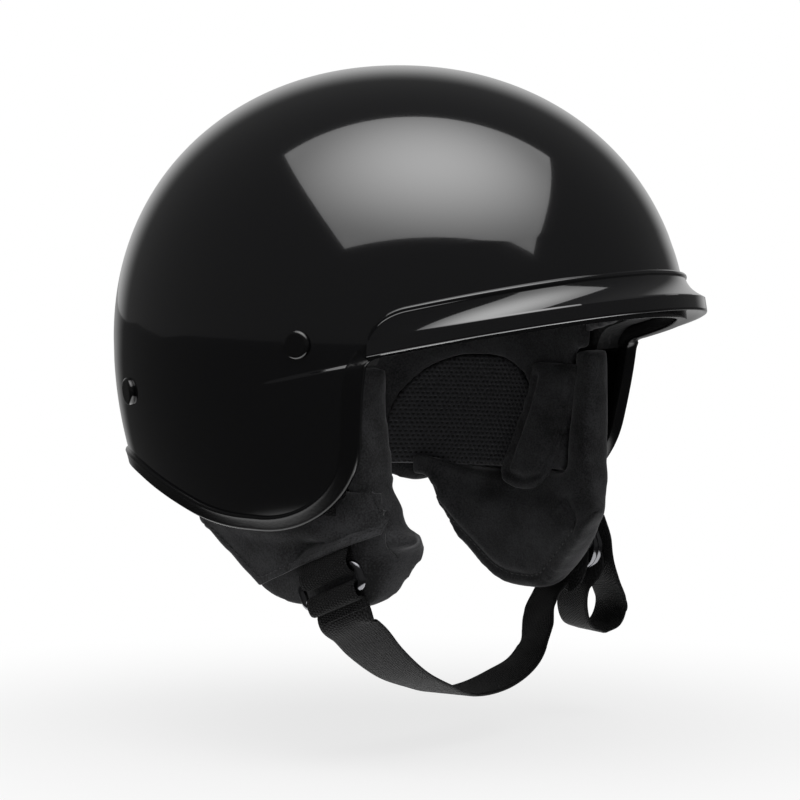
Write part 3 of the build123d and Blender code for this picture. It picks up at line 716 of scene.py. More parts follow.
for side, hand in ((-1, "right"), (1, "left")):
    pad = copy_of("ear_pad_" + hand, "flap_anchor_" + hand, "ear_flap_" + hand)
    # The two CAD solids are drawn together over their joint before they become one cushion.
    points = places_of(pad)
    joint = hinge_level - 0.0005 - (hinge_out - np.abs(points[:, 0])) * math.tan(math.radians(8))
    near_joint = (points[:, 2] < hinge_level - 0.0003) & (points[:, 2] > hinge_level - 0.0062)
    near_joint &= np.abs(points[:, 2] - joint) < 0.0006
    points[near_joint, 2] = hinge_level + 0.002
    move_to(pad, points)
    soften(pad, voxel=0.0022, rounds=8, pressure=2.5, cap=0.003, shaping=cut_of_pad(side))
    press_seam(pad, seam_of_pad[side], side)
    give(pad, suede)
    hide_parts("flap_anchor_" + hand, "ear_flap_" + hand)
    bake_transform(pad)
    ear_pads[side] = pad

# Covers of the ear pads: an outer skin of the same microfibre over the part below the rim. Its upper
# panel ends in a folded hem across the pad, and the strap's webbing comes out from under it.
# The webbing's line is its ring's seat, out, back and up, and its tilt in the side view.
web_tilt = math.radians(22.5)
bar_seats = {-1: np.array([0.092, -0.0343, -0.0938]), 1: np.array([0.092, -0.0250, -0.0938])}
well_outside = 0.2
pad_reach = 0.0855
over_tape_gap = 0.0004
over_tape_fall = 0.006


def skin_tree(piece):
    """Search tree over a piece's faces."""
    mesh = piece.data
    return BVHTree.FromPolygons([v.co for v in mesh.vertices], [p.vertices for p in mesh.polygons])


def outer_reach(tree, side, back, height):
    """How far out a piece's face is at a place in the side view."""
    hit = tree.ray_cast(Vector((side * well_outside, back, height)), Vector((-side, 0, 0)))[0]
    return abs(hit.x) if hit else None


def over_tape(side, back, height):
    """Least reach of the skin where the strap's webbing lies under it."""
    seat = bar_seats[side]
    rise = (height - seat[2]) * math.cos(web_tilt) + (back - seat[1]) * math.sin(web_tilt)
    apart = abs((back - seat[1]) * math.cos(web_tilt) - (height - seat[2]) * math.sin(web_tilt))
    rises = [0.009, 0.0124, 0.0152, 0.0196, 0.0215]
    out = np.interp(rise, rises, [-0.0022, -0.0022, -0.0035, -0.0098, -0.0135])
    return seat[0] + out + over_tape_gap - over_tape_fall * smooth_step(0.0125, 0.0300, apart)


def add_panel(name, tree, side, backs, tops, feet, rows, wall, hem):
    """A skin laid over a pad between two lines in the side view, with a hem along its foot."""
    places = np.zeros((len(backs), rows, 3))
    for column, (back, top, foot) in enumerate(zip(backs, tops, feet)):
        reach = pad_reach
        for row, height in enumerate(np.linspace(top, foot, rows)):
            reach = outer_reach(tree, side, back, height) or reach
            turn = np.clip((height - foot) / 0.004, 0, 1)
            over = over_tape(side, back, height) if hem else 0
            places[column, row] = (side * (max(reach + 0.0002, over) + hem * (1 - turn**2)), back, height)
    panel = add_sheet(name, places, (backs, np.linspace(1, 0, rows)))
    only(panel)
    if (panel.data.polygons[0].normal.x > 0) != (side > 0):
        bpy.ops.object.mode_set(mode="EDIT")
        bpy.ops.mesh.select_all(action="SELECT")
        bpy.ops.mesh.flip_normals()
        bpy.ops.object.mode_set(mode="OBJECT")
    finish_modifier(panel, "SMOOTH", factor=0.5, iterations=2)
    finish_modifier(panel, "SOLIDIFY", thickness=wall, offset=1)
    corner = math.radians(50)
    finish_modifier(panel, "BEVEL", width=wall * 0.4, segments=2, limit_method="ANGLE", angle_limit=corner)
    only(panel)
    bpy.ops.object.shade_smooth_by_angle(angle=math.radians(45))
    return panel


flap_rear = 0.037
flap_fronts = {-1: -0.0550, 1: -0.0462}
skin_top = -0.0560
skin_margin = 0.0022
hem_level = -0.0807
hem_slope = 0.403
hem_overlap = 0.004
hem_stitch_rise = 0.0032
seam_lines = {}
seam_pieces = {}
for side, hand in ((-1, "right"), (1, "left")):
    outline = pad_outlines[side]
    lower = outline[:np.argmin(outline[:, 0])]
    lower = lower[lower[:, 1] < -0.0755]
    order = np.argsort(lower[:, 0])
    tree_of_pad = skin_tree(ear_pads[side])
    backs = np.linspace(flap_rear - 0.002, flap_fronts[side], 100)
    edge = np.interp(backs, lower[order, 0], lower[order, 1]) + skin_margin
    hem_line = hem_level + (bar_seats[side][1] - backs) * hem_slope
    upper_foot = np.maximum(hem_line, edge)
    top = np.full_like(backs, skin_top)
    upper = add_panel(
        "flap_skin_" + hand, tree_of_pad, side, backs, top, upper_foot, rows=24, wall=0.0011, hem=0.0012
    )
    tucked = hem_line + hem_overlap
    has_lower = tucked > edge + 0.001
    lower_skin = add_panel(
        "flap_tongue_" + hand,
        tree_of_pad,
        side,
        backs[has_lower],
        tucked[has_lower],
        edge[has_lower],
        rows=18,
        wall=0.0008,
        hem=0.0,
    )
    seam_lines[side, "hem"] = (backs[::-1], (upper_foot + hem_stitch_rise)[::-1])
    seam_pieces[side, "hem"] = upper
    seam_lines[side, "inner"] = (seam_of_pad[side][:, 0], seam_of_pad[side][:, 1])
    seam_pieces[side, "inner"] = ear_pads[side]
    for panel in (upper, lower_skin):
        give(panel, suede)
    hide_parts("flap_cover_" + hand)
    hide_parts("flap_cover_" + hand)
    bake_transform(upper)
    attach(lower_skin, hand + "_flap")

# Webbing: 25.4 mm nylon tape, 1.4 mm thick, woven in lengthwise ribs. Each side's tape comes out from
# under the hem, goes round the top bar of its ring, and is sewn back on itself inside the pad.
web_width = 0.0254
hanger_thickness = 0.0014
along_bar = np.array([0, -math.cos(web_tilt), math.sin(web_tilt)])
up_web = np.array([0, math.sin(web_tilt), math.cos(web_tilt)])


def at_bar(side, out, rise):
    """Point near a ring, out from its plane and up along the webbing, in millimetres."""
    place = bar_seats[side] + np.array([out, 0, 0]) / 1000 + up_web * rise / 1000
    return place * (side, 1, 1)


def smooth_line(points, step):
    """Evenly spaced points of a soft curve through points."""
    points = np.asarray(points, float)
    ends = np.vstack([2 * points[0] - points[1], points, 2 * points[-1] - points[-2]])
    curve = []
    for p0, p1, p2, p3 in zip(ends, ends[1:], ends[2:], ends[3:]):
        k0 = max(np.linalg.norm(p1[:3] - p0[:3]), 1e-6) ** 0.5
        k1 = k0 + max(np.linalg.norm(p2[:3] - p1[:3]), 1e-6) ** 0.5
        k2 = k1 + max(np.linalg.norm(p3[:3] - p2[:3]), 1e-6) ** 0.5
        for t in np.linspace(k0, k1, 24, endpoint=False):
            a1 = p0 * (k0 - t) / k0 + p1 * t / k0
            a2 = p1 * (k1 - t) / (k1 - k0) + p2 * (t - k0) / (k1 - k0)
            a3 = p2 * (k2 - t) / (k2 - k1) + p3 * (t - k1) / (k2 - k1)
            b1 = a1 * (k1 - t) / k1 + a2 * t / k1
            b2 = a2 * (k2 - t) / (k2 - k0) + a3 * (t - k0) / (k2 - k0)
            curve.append(b1 * (k1 - t) / (k1 - k0) + b2 * (t - k0) / (k1 - k0))
    curve.append(points[-1])
    curve = np.array(curve)
    length = np.r_[0, np.cumsum(np.linalg.norm(np.diff(curve[:, :3], axis=0), axis=1))]
    count = max(8, int(length[-1] / step))
    marks = np.linspace(0, length[-1], count)
    return np.stack([np.interp(marks, length, curve[:, axis]) for axis in range(curve.shape[1])], -1), marks


def add_tape(name, points, widths, thickness, step=0.0008):
    """Flat tape through points, turned so that its width follows widths, with rounded selvedges."""
    line, marks = smooth_line(np.hstack([points, widths]), step)
    centre = line[:, :3]
    across = line[:, 3:]
    heading = np.gradient(centre, axis=0)
    heading /= np.linalg.norm(heading, axis=1)[:, None]
    across = across - heading * np.sum(across * heading, axis=1)[:, None]
    across /= np.linalg.norm(across, axis=1)[:, None]
    face = np.cross(heading, across)
    half = np.r_[-1, -0.985, -0.94, np.linspace(-0.86, 0.86, 11), 0.94, 0.985, 1]
    depth = np.r_[0, 0.45, 0.85, np.ones(11), 0.85, 0.45, 0]
    loop = [(share, level) for share, level in zip(half, depth)]
    loop += [(share, -level) for share, level in zip(half[::-1][1:], depth[::-1][1:])]
    rings = np.array(
        [centre + across * share * web_width / 2 + face * level * thickness / 2 for share, level in loop]
    ).transpose(1, 0, 2)
    first = np.repeat(centre[None, :1], len(loop), axis=1)
    last = np.repeat(centre[None, -1:], len(loop), axis=1)
    rings = np.concatenate([first, rings, last])
    marks = np.r_[marks[0], marks, marks[-1]]
    cross_marks = np.array([share * web_width / 2 for share, _ in loop])
    tape = add_sheet(name, rings, (marks, cross_marks))
    only(tape)
    bpy.ops.object.shade_smooth_by_angle(angle=math.radians(60))
    return tape


# Dyed nylon yarn is dull, and a little lighter on top of each cord, where its fine threads catch the light.
nylon, tree = new_material("woven nylon webbing")
place = put(tree, "ShaderNodeTexCoord")
parts = put(tree, "ShaderNodeSeparateXYZ", [("Vector", place.outputs["UV"])])
# Cords run lengthwise every 1.3 mm, and the weft ribs cross them every 1.1 mm, stepped by half a rib.
cord_pitch = 0.0013
rib_pitch = 0.0011
cords = put(tree, "ShaderNodeMath", [(0, parts.outputs["Y"]), (1, 1 / cord_pitch)], operation="MULTIPLY")
cell = put(tree, "ShaderNodeMath", [(0, cords.outputs[0])], operation="FLOOR")
stagger = put(tree, "ShaderNodeMath", [(0, cell.outputs[0]), (1, 0.5)], operation="MULTIPLY")
ribs = put(tree, "ShaderNodeMath", [(0, parts.outputs["X"]), (1, 1 / rib_pitch)], operation="MULTIPLY")
stepped = put(tree, "ShaderNodeMath", [(0, ribs.outputs[0]), (1, stagger.outputs[0])], operation="ADD")


def hump(tree, source):
    """A rounded hump over each whole number of a value."""
    part = put(tree, "ShaderNodeMath", [(0, source)], operation="FRACT")
    turned = put(tree, "ShaderNodeMath", [(0, part.outputs[0]), (1, math.pi)], operation="MULTIPLY")
    return put(tree, "ShaderNodeMath", [(0, turned.outputs[0])], operation="SINE").outputs[0]


over_and_under = [(0, hump(tree, cords.outputs[0])), (1, hump(tree, stepped.outputs[0]))]
weave = put(tree, "ShaderNodeMath", over_and_under, operation="MULTIPLY")
fray = put(tree, "ShaderNodeTexNoise", [("Vector", place.outputs["Object"])], Scale=2200.0, Detail=2.0)
rough_weave = [(0, fray.outputs["Fac"]), (1, weave.outputs[0]), (2, weave.outputs[0])]
mixed = put(tree, "ShaderNodeMath", rough_weave, operation="MULTIPLY_ADD")
colour = put(tree, "ShaderNodeMix", [("Factor", weave.outputs[0])], data_type="RGBA")
colour.inputs["A"].default_value = linear("0d0d0d")
colour.inputs["B"].default_value = linear("1c1c1d")
relief = put(tree, "ShaderNodeBump", [("Height", mixed.outputs[0])], Strength=0.7, Distance=0.0004)
paint = put(
    tree,
    "ShaderNodeBsdfPrincipled",
    [("Base Color", colour.outputs["Result"]), ("Normal", relief.outputs["Normal"])],
    Roughness=0.7,
    Specular_IOR_Level=0.14,
    Sheen_Weight=0.02,
    Sheen_Roughness=0.5,
)
put(tree, "ShaderNodeOutputMaterial", [("Surface", paint.outputs["BSDF"])])

for side, hand, spread in ((-1, "right", 0.0), (1, "left", 3.6)):
    path = [(-11.6, 21), (-11.6, 20), (-11.3, 19.6), (-5.0, 15.2), (-3.6, 12.4), (-3.05, 9), (-3.05, 5)]
    path += [(-2.16, 2.84), (0, 1.95)]
    if spread:
        path.append((spread, 1.95))
    path += [(spread + 2.16, 2.84), (spread + 3.05, 5), (spread + 2.5, 7.4)]
    path += [(-0.9, 11.3), (-1.6, 12.6), (-1.6, 13.4)]
    points = [at_bar(side, out, rise) for out, rise in path]
    tape = add_tape("hanger_" + hand, points, [along_bar] * len(points), hanger_thickness)
    give(tape, nylon)
    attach(tape, hand + "_flap")
    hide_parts("hanger_lower_" + hand)

# Chin strap: the same tape, a little thicker, sewn round the lower bar of the oval ring. It hangs
# under the chin, goes up through both D-rings, back between them, and down to its loose bend.
strap_thickness = 0.0016
sewn_loop = [(-1.45, -13.2), (-1.45, -10.1), (-1.3, -9), (2.4, -8.6), (3.15, -5), (2.24, -2.76)]
sewn_loop += [(0, -1.85), (-2.24, -2.76), (-3.15, -5), (-3.15, -12)]
path = [at_bar(-1, out, rise) for out, rise in sewn_loop]
chin_places = [
    (-87.0, -38.5, -109.0, 22.5, 0),
    (-77.4, -38.0, -115.2, 19, 0),
    (-65.0, -36.0, -123.4, 15, 0),
    (-44.0, -34.0, -134.9, 9, 0),
    (-24.5, -33.0, -142.1, 4, 0),
    (-6.0, -32.0, -147.3, 0, 0),
    (18.0, -32.0, -147.6, 0, 7),
    (38.4, -31.6, -143.5, 0, 21),
    (51.7, -31.0, -138.0, 3, 30),
    (61.3, -29.8, -130.5, 6, 32),
    (69.5, -26.2, -123.4, 10, 32),
    (77.5, -23.0, -117.6, 12, 26),
]
widths = [along_bar] * len(path)
for x, y, z, lean, yaw in chin_places:
    path.append(np.array([x, y, z]) / 1000)
    lean = math.radians(lean)
    yaw = math.radians(yaw)
    level = math.cos(lean)
    widths.append(np.array([-math.sin(yaw) * level, -math.cos(yaw) * level, math.sin(lean)]))
path.append(np.array([0.0866, -0.0222, -0.1105]))
widths.append(np.array([-0.198, -0.930, 0.309]))
hooks = [(-3.3, -7.35), (-2.3, -5.0), (0, -4.0), (3.6, -4.0), (6.0, -5.0), (7.0, -7.35), (6.95, -10.0)]
path += [at_bar(1, out, rise) for out, rise in hooks]
widths += [along_bar] * len(hooks)
tail_yaw = math.radians(25)
tail_out = np.array([math.cos(tail_yaw), -math.sin(tail_yaw), 0])
tail_width = np.array([-math.sin(tail_yaw), -math.cos(tail_yaw), 0])
tail_foot = np.array([0.0973, -0.0257, -0.1322])
tail_bend = 0.0100


def on_tail(out, rise):
    """Point of the hanging bend, in shares of its radius out and up from its foot."""
    return tail_foot + tail_out * out * tail_bend + np.array([0, 0, rise * tail_bend])


path += [np.array([0.0978, -0.0268, -0.1105]), on_tail(0, 1), on_tail(0.29, 0.29), on_tail(0.96, 0)]
widths += [tail_width] * 4
chin_strap = add_tape("strap_under_chin", path, widths, strap_thickness)
give(chin_strap, nylon)
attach(chin_strap, "chin_strap")
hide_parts("chin_strap")

# Free end of the strap: the last stretch of the same tape. It turns up from its bend, goes past the
# rings on their outer side and is parked on the press stud.
path = [on_tail(1.0, 0), on_tail(1.71, 0.29), on_tail(2.02, 1)]
for x, y, z in (
    (112.6, -34.7, -115.2),
    (107.6, -35.0, -108.4),
    (103.7, -33.0, -101.8),
    (103.4, -30.0, -94.0),
    (103.4, -26.5, -85.0),
):
    path.append(np.array([x, y, z]) / 1000)
middle = along_bar + tail_width
widths = [tail_width] * 5 + [middle / np.linalg.norm(middle), along_bar, along_bar]
strap_tail = add_tape("strap_free_end", path, widths, strap_thickness)
give(strap_tail, nylon)
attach(strap_tail, "strap_end")
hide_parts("strap_tail")

# Comfort lining: foam-backed pads of the same microfibre, cut to shape and sewn round their edges. They
# are the side and neck lining with its two windows, the crown and brow pads, the temple lobes and the
# rolled edge at the neck, and all are held in the foam by hook tape.
lobe_length = 0.060
lobe_lean = 0.008
lobe_widening = 1.35
lobe_forward = 0.007


def lean_forward(points):
    """Cuts a temple lobe wide at its top and slanting back to its tip."""
    points = points.copy()
    middle = points[:, 1].mean() - (points[:, 2] - points[:, 2].mean()) * lobe_lean / lobe_length
    points[:, 1] = middle + (points[:, 1] - middle) * lobe_widening
    points[:, 1] -= lobe_forward * smooth_step(-0.085, -0.020, points[:, 2]) + lobe_forward
    return points


for name, node, voxel, rounds, pressure, cap, fill in (
    ("side_lining", "comfort_liner", 0.0020, 4, 1.5, 0.0015, 0.7),
    ("brow_cushion", "brow_pad", 0.0022, 6, 2.0, 0.0015, 0.7),
    ("crown_cushion", "crown_pad", 0.0030, 6, 2.0, 0.0020, 0.6),
    ("temple_lobe_left", "temple_pad_left", 0.0016, 5, 2.5, 0.0020, 0.7),
    ("temple_lobe_right", "temple_pad_right", 0.0016, 5, 2.5, 0.0020, 0.7),
    ("neck_edge_roll", "neck_roll", 0.0020, 5, 2.0, 0.0015, 0.8),
):
    cushion = copy_of(name, node)
    soften(cushion, voxel, rounds, pressure, cap, lean_forward if "temple" in name else None)
    if "temple" in name:
        # Its face is sewn to a narrow gusset, so a seam runs round inside its edge.
        inset = 0.0045
        points = places_of(cushion)
        lowest = points[:, 2].min()
        levels = np.linspace(points[:, 2].max() - 0.006, lowest + 0.007, 16)
        bands = [points[np.abs(points[:, 2] - level) < 0.002, 1] for level in levels]
        front = [(band.min() + inset, level) for band, level in zip(bands, levels)]
        rear = [(band.max() - inset, level) for band, level in zip(bands, levels)]
        tip = [((front[-1][0] + rear[-1][0]) / 2, lowest + inset)]
        seam = np.array(front + tip + rear[::-1])
        seam = rounded(seam, [0.002] * (len(seam) - 2), 0.0008)
        press_seam(cushion, seam, 1 if "left" in name else -1)
    give(cushion, suede)
    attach(cushion, "root")
    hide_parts(node)

# Windows in the side lining: spacer mesh, a polyester knit 3 mm thick with open round cells every 2.2 mm.
# Each is sewn into an opening over the ear, so that sound and air get through.
cell_width = 0.0022
cell_height = 0.0019
# Its yarn is matt. Its open cells are painted darker than the knit round them: painted shade in the holes.
spacer, tree = new_material("knitted spacer mesh")
place = put(tree, "ShaderNodeTexCoord")
parts = put(tree, "ShaderNodeSeparateXYZ", [("Vector", place.outputs["Object"])])
level = put(tree, "ShaderNodeMath", [(0, parts.outputs["Z"]), (1, 1 / cell_height)], operation="MULTIPLY")
row = put(tree, "ShaderNodeMath", [(0, level.outputs[0])], operation="FLOOR")
shift = put(tree, "ShaderNodeMath", [(0, row.outputs[0]), (1, 0.5)], operation="MULTIPLY")
shifted = [(0, parts.outputs["Y"]), (1, 1 / cell_width), (2, shift.outputs[0])]
along = put(tree, "ShaderNodeMath", shifted, operation="MULTIPLY_ADD")
round_cells = [(0, hump(tree, level.outputs[0])), (1, hump(tree, along.outputs[0]))]
cells = put(tree, "ShaderNodeMath", round_cells, operation="MULTIPLY")
holes = put(
    tree,
    "ShaderNodeMapRange",
    [("Value", cells.outputs[0])],
    interpolation_type="SMOOTHSTEP",
    From_Min=0.45,
    From_Max=0.75,
    To_Min=1.0,
    To_Max=0.0,
)
colour = put(tree, "ShaderNodeMix", [("Factor", holes.outputs[0])], data_type="RGBA")
# Painted shade: the near-black colour of the open cells.
colour.inputs["A"].default_value = linear("080808")
colour.inputs["B"].default_value = linear("303033")
relief = put(tree, "ShaderNodeBump", [("Height", holes.outputs[0])], Strength=0.8, Distance=0.0008)
paint = put(
    tree,
    "ShaderNodeBsdfPrincipled",
    [("Base Color", colour.outputs["Result"]), ("Normal", relief.outputs["Normal"])],
    Roughness=0.65,
    Sheen_Weight=0.15,
)
put(tree, "ShaderNodeOutputMaterial", [("Surface", paint.outputs["BSDF"])])
for hand in ("left", "right"):
    window = copy_of("spacer_mesh_" + hand, "mesh_panel_" + hand)
    finish_modifier(window, "REMESH", mode="VOXEL", voxel_size=0.0010, use_smooth_shade=True)
    finish_modifier(window, "SMOOTH", factor=0.5, iterations=3)
    give(window, spacer)
    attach(window, "root")
    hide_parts("mesh_panel_" + hand)

# Upper part of the webbing: a Y of the same tape that runs from the front and the rear rivet, between
# the shell and the foam, down into the ear pad.
for hand in ("left", "right"):
    yoke = copy_of("hanger_yoke_" + hand, "hanger_upper_" + hand)
    corner = math.radians(50)
    finish_modifier(yoke, "BEVEL", width=0.0003, segments=2, limit_method="ANGLE", angle_limit=corner)
    marks = yoke.data.uv_layers.new(name="UVMap")
    for loop in yoke.data.loops:
        point = yoke.data.vertices[loop.vertex_index].co
        marks.data[loop.index].uv = (point.z, point.y)
    give(yoke, nylon)
    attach(yoke, "root")
    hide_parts("hanger_upper_" + hand)

# Rings: bent and welded steel wire, nickel plated and dark. The oval ring joins the right hanger to the
# strap, and the two D-rings hold its other end. They mirror the room and the black straps.
plated, tree = new_material("dark nickel plate")
place = put(tree, "ShaderNodeTexCoord")
smears = put(tree, "ShaderNodeTexNoise", [("Vector", place.outputs["Object"])], Scale=300.0, Detail=3.0)
gloss = put(tree, "ShaderNodeMapRange", [("Value", smears.outputs["Fac"])], To_Min=0.08, To_Max=0.20)
paint = put(
    tree,
    "ShaderNodeBsdfPrincipled",
    [("Roughness", gloss.outputs[0])],
    Base_Color=linear("77777a"),
    Metallic=1.0,
)
put(tree, "ShaderNodeOutputMaterial", [("Surface", paint.outputs["BSDF"])])
for node in ("slip_ring", "d_ring_inner", "d_ring_outer"):
    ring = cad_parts[node]
    only(ring)
    bpy.ops.object.shade_smooth_by_angle(angle=math.radians(40))
    give(ring, plated)

# Rivets, their washers and the press stud: steel under black enamel. The rivet heads are low domes, set
# through the shell and the webbing on to their washers.
# Baked enamel is a smooth gloss, with a faint waviness 1.7 mm across.
enamel, tree = new_material("black enamel on steel")
place = put(tree, "ShaderNodeTexCoord")
peel = put(tree, "ShaderNodeTexNoise", [("Vector", place.outputs["Object"])], Scale=600.0, Detail=2.0)
relief = put(tree, "ShaderNodeBump", [("Height", peel.outputs["Fac"])], Strength=0.1, Distance=0.0002)
paint = put(
    tree,
    "ShaderNodeBsdfPrincipled",
    [("Normal", relief.outputs["Normal"])],
    Base_Color=linear("0a0a0b"),
    Roughness=0.14,
    Coat_Weight=0.6,
    Coat_Roughness=0.05,
)
put(tree, "ShaderNodeOutputMaterial", [("Surface", paint.outputs["BSDF"])])
for node in ("strap_rivets", "rivet_washers", "snap_stud", "snap_socket"):
    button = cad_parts[node]
    only(button)
    bpy.ops.object.shade_smooth_by_angle(angle=math.radians(35))
    give(button, enamel)


# Stitching: bonded polyester thread, 3 mm to a stitch. It runs along the hems of the flap covers and
# round the inner faces of the ear pads.
stitch_pitch = 0.0030
stitch_length = 0.0022
thread_width = 0.00034
thread_height = 0.0003
stitch_sink = 0.0001
# Twisted and bonded thread has a little more shine than the cloth, and about the same shade.
thread, tree = new_material("bonded polyester thread")
place = put(tree, "ShaderNodeTexCoord")
twist = put(tree, "ShaderNodeTexWave", [("Vector", place.outputs["Object"])], Scale=900.0, Distortion=1.0)
relief = put(tree, "ShaderNodeBump", [("Height", twist.outputs["Fac"])], Strength=0.3, Distance=0.0001)
paint = put(
    tree,
    "ShaderNodeBsdfPrincipled",
    [("Normal", relief.outputs["Normal"])],
    Base_Color=linear("2c2c2e"),
    Roughness=0.5,
)
put(tree, "ShaderNodeOutputMaterial", [("Surface", paint.outputs["BSDF"])])


def add_stitches(name, line, outward, body):
    """A row of stitches along a line, each a small closed dash that lies half in the cloth."""
    line = np.asarray(line, float)
    length = np.r_[0, np.cumsum(np.linalg.norm(np.diff(line, axis=0), axis=1))]
    outward = np.asarray(outward, float)
    vertices = []
    faces = []
    for start in np.arange(0.0012, length[-1] - 0.0032, stitch_pitch):
        into, out_of, lift = (
            np.array([np.interp(mark, length, values[:, axis]) for axis in range(3)])
            for mark, values in ((start, line), (start + stitch_length, line), (start, outward))
        )
        lift /= np.linalg.norm(lift)
        heading = out_of - into
        heading /= np.linalg.norm(heading)
        aside = np.cross(heading, lift)
        base = len(vertices)
        vertices.append(into - lift * stitch_sink)
        for share, size in ((0.15, 0.8), (0.5, 1.0), (0.85, 0.8)):
            middle = into + (out_of - into) * share
            for corner in range(6):
                angle = corner * math.pi / 3
                spoke = aside * math.cos(angle) * thread_width + lift * math.sin(angle) * thread_height
                vertices.append(middle + spoke * size)
        vertices.append(out_of - lift * stitch_sink)
        for corner in range(6):
            after = (corner + 1) % 6
            faces.append((base, base + 1 + after, base + 1 + corner))
            faces.append((base + 19, base + 13 + corner, base + 13 + after))
            for ring in (0, 6):
                first = base + 1 + ring
                faces.append((first + corner, first + after, first + 6 + after, first + 6 + corner))
    mesh = bpy.data.meshes.new(name)
    mesh.from_pydata([tuple(v) for v in vertices], [], faces)
    row = bpy.data.objects.new(name, mesh)
    bpy.context.scene.collection.objects.link(row)
    only(row)
    bpy.ops.object.mode_set(mode="EDIT")
    bpy.ops.mesh.select_all(action="SELECT")
    bpy.ops.mesh.normals_make_consistent(inside=False)
    bpy.ops.object.mode_set(mode="OBJECT")
    bpy.ops.object.shade_smooth()
    give(row, thread)
    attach(row, body)


# A seam's line is laid on to its piece from outside, and the pads' seams on to their inner faces.
for (side, part), (backs, heights) in seam_lines.items():
    tree_of_part = skin_tree(seam_pieces[side, part])
    inside = part == "inner"
    line = []
    for back, height in zip(backs, heights):
        start = Vector((0 if inside else side * well_outside, back, height))
        hit = tree_of_part.ray_cast(start, Vector((side if inside else -side, 0, 0)))
        if hit[0]:
            line.append((tuple(hit[0]), tuple(hit[1])))
    if len(line) > 3:
        hand = "right" if side < 0 else "left"
        places, outward = zip(*line)
        add_stitches("stitches_" + part + "_" + hand, places, outward, hand + "_flap")

# Studio: a white sweep far below and behind, one large soft box overhead and the pale backdrop that
# shows as a rim along the back of the shell.
turn = math.radians(-54)
tilt = math.radians(3.7)
lens_distance = 1.5
aim_right = 0.001045
aim_down = 0.02532
picture_pixels = 800
focal_pixels = 3525
sensor_width = 36
level_out = Vector((math.sin(turn), -math.cos(turn), 0))
right = Vector((math.cos(turn), math.sin(turn), 0))
back_to_lens = level_out * math.cos(tilt) + Vector((0, 0, math.sin(tilt)))
up = -level_out * math.sin(tilt) + Vector((0, 0, math.cos(tilt)))
bpy.ops.object.select_all(action="DESELECT")
bpy.ops.object.camera_add(location=right * aim_right - up * aim_down + back_to_lens * lens_distance)
camera = bpy.context.object
camera.rotation_euler = Matrix((right, up, back_to_lens)).transposed().to_euler()
camera.data.sensor_width = sensor_width
camera.data.lens = focal_pixels / picture_pixels * sensor_width
bpy.context.scene.camera = camera
bpy.context.scene.view_settings.view_transform = "Standard"


def ray_mix(tree, plain, mirrored, seen):
    """Mixes what lights the helmet, what it mirrors, and what the camera sees."""
    way = put(tree, "ShaderNodeLightPath")
    straight = [(0, way.outputs["Is Camera Ray"]), (1, way.outputs["Is Transmission Ray"])]
    either = put(tree, "ShaderNodeMath", straight, operation="MAXIMUM")
    bounced = [("Fac", way.outputs["Is Glossy Ray"]), (1, plain.outputs[0]), (2, mirrored.outputs[0])]
    bounced = put(tree, "ShaderNodeMixShader", bounced)
    all_rays = [("Fac", either.outputs[0]), (1, bounced.outputs[0]), (2, seen.outputs[0])]
    return put(tree, "ShaderNodeMixShader", all_rays)


floor_level = -0.170
bpy.ops.mesh.primitive_plane_add(size=40, location=(0, 0, floor_level))
floor = bpy.context.object
floor.name = floor.data.name = "floor"
# The paper is lit close to the helmet, where it takes the shadow, and turns to the white of the picture
# round it.
sweep, tree = new_material("white paper sweep")
place = put(tree, "ShaderNodeTexCoord")
distance = put(tree, "ShaderNodeVectorMath", [(0, place.outputs["Object"])], operation="LENGTH")
apart = put(
    tree,
    "ShaderNodeMapRange",
    [("Value", distance.outputs["Value"])],
    interpolation_type="SMOOTHSTEP",
    From_Min=0.14,
    From_Max=0.36,
)
matt = put(tree, "ShaderNodeBsdfDiffuse", Color=linear("787878"))
glow = put(tree, "ShaderNodeEmission", Color=linear("ffffff"), Strength=0.765)
near = put(tree, "ShaderNodeAddShader", [(0, matt.outputs[0]), (1, glow.outputs[0])])
white = put(tree, "ShaderNodeEmission", Color=linear("ffffff"), Strength=1.0)
paper = put(tree, "ShaderNodeMixShader", [(0, apart.outputs[0]), (1, near.outputs[0]), (2, white.outputs[0])])
# In mirrored light the paper glows as a painted pool of light close under the helmet, seen in reflections
# only, and is dark round it.
painted_pool_glow = put(
    tree,
    "ShaderNodeMapRange",
    [("Value", distance.outputs["Value"])],
    interpolation_type="SMOOTHSTEP",
    From_Min=0.19,
    From_Max=0.24,
    To_Min=1.8,
    To_Max=0.035,
)
heading = put(tree, "ShaderNodeVectorMath", [(0, place.outputs["Object"])], operation="NORMALIZE")
behind = tuple(-level_out)
toward = put(tree, "ShaderNodeVectorMath", [(0, heading.outputs[0]), (1, behind)], operation="DOT_PRODUCT")
beyond = put(
    tree,
    "ShaderNodeMapRange",
    [("Value", toward.outputs["Value"])],
    interpolation_type="SMOOTHSTEP",
    From_Min=0.80,
    From_Max=0.98,
    To_Min=0.0,
    To_Max=0.26,
)
both = put(tree, "ShaderNodeMath", [(0, painted_pool_glow.outputs[0]), (1, beyond.outputs[0])], operation="ADD")
mirrored = put(tree, "ShaderNodeEmission", [("Strength", both.outputs[0])], Color=linear("ffffff"))
plain = put(tree, "ShaderNodeBsdfDiffuse", Color=linear("9a9a9a"))
shown = ray_mix(tree, plain, mirrored, paper)
put(tree, "ShaderNodeOutputMaterial", [("Surface", shown.outputs[0])])
give(floor, sweep)

world = bpy.data.worlds.new("studio")
bpy.context.scene.world = world
world.use_nodes = True
tree = world.node_tree
tree.nodes.clear()
soft = put(tree, "ShaderNodeBackground", Color=linear("ffffff"), Strength=0.22)
white = put(tree, "ShaderNodeBackground", Color=linear("ffffff"), Strength=1.0)
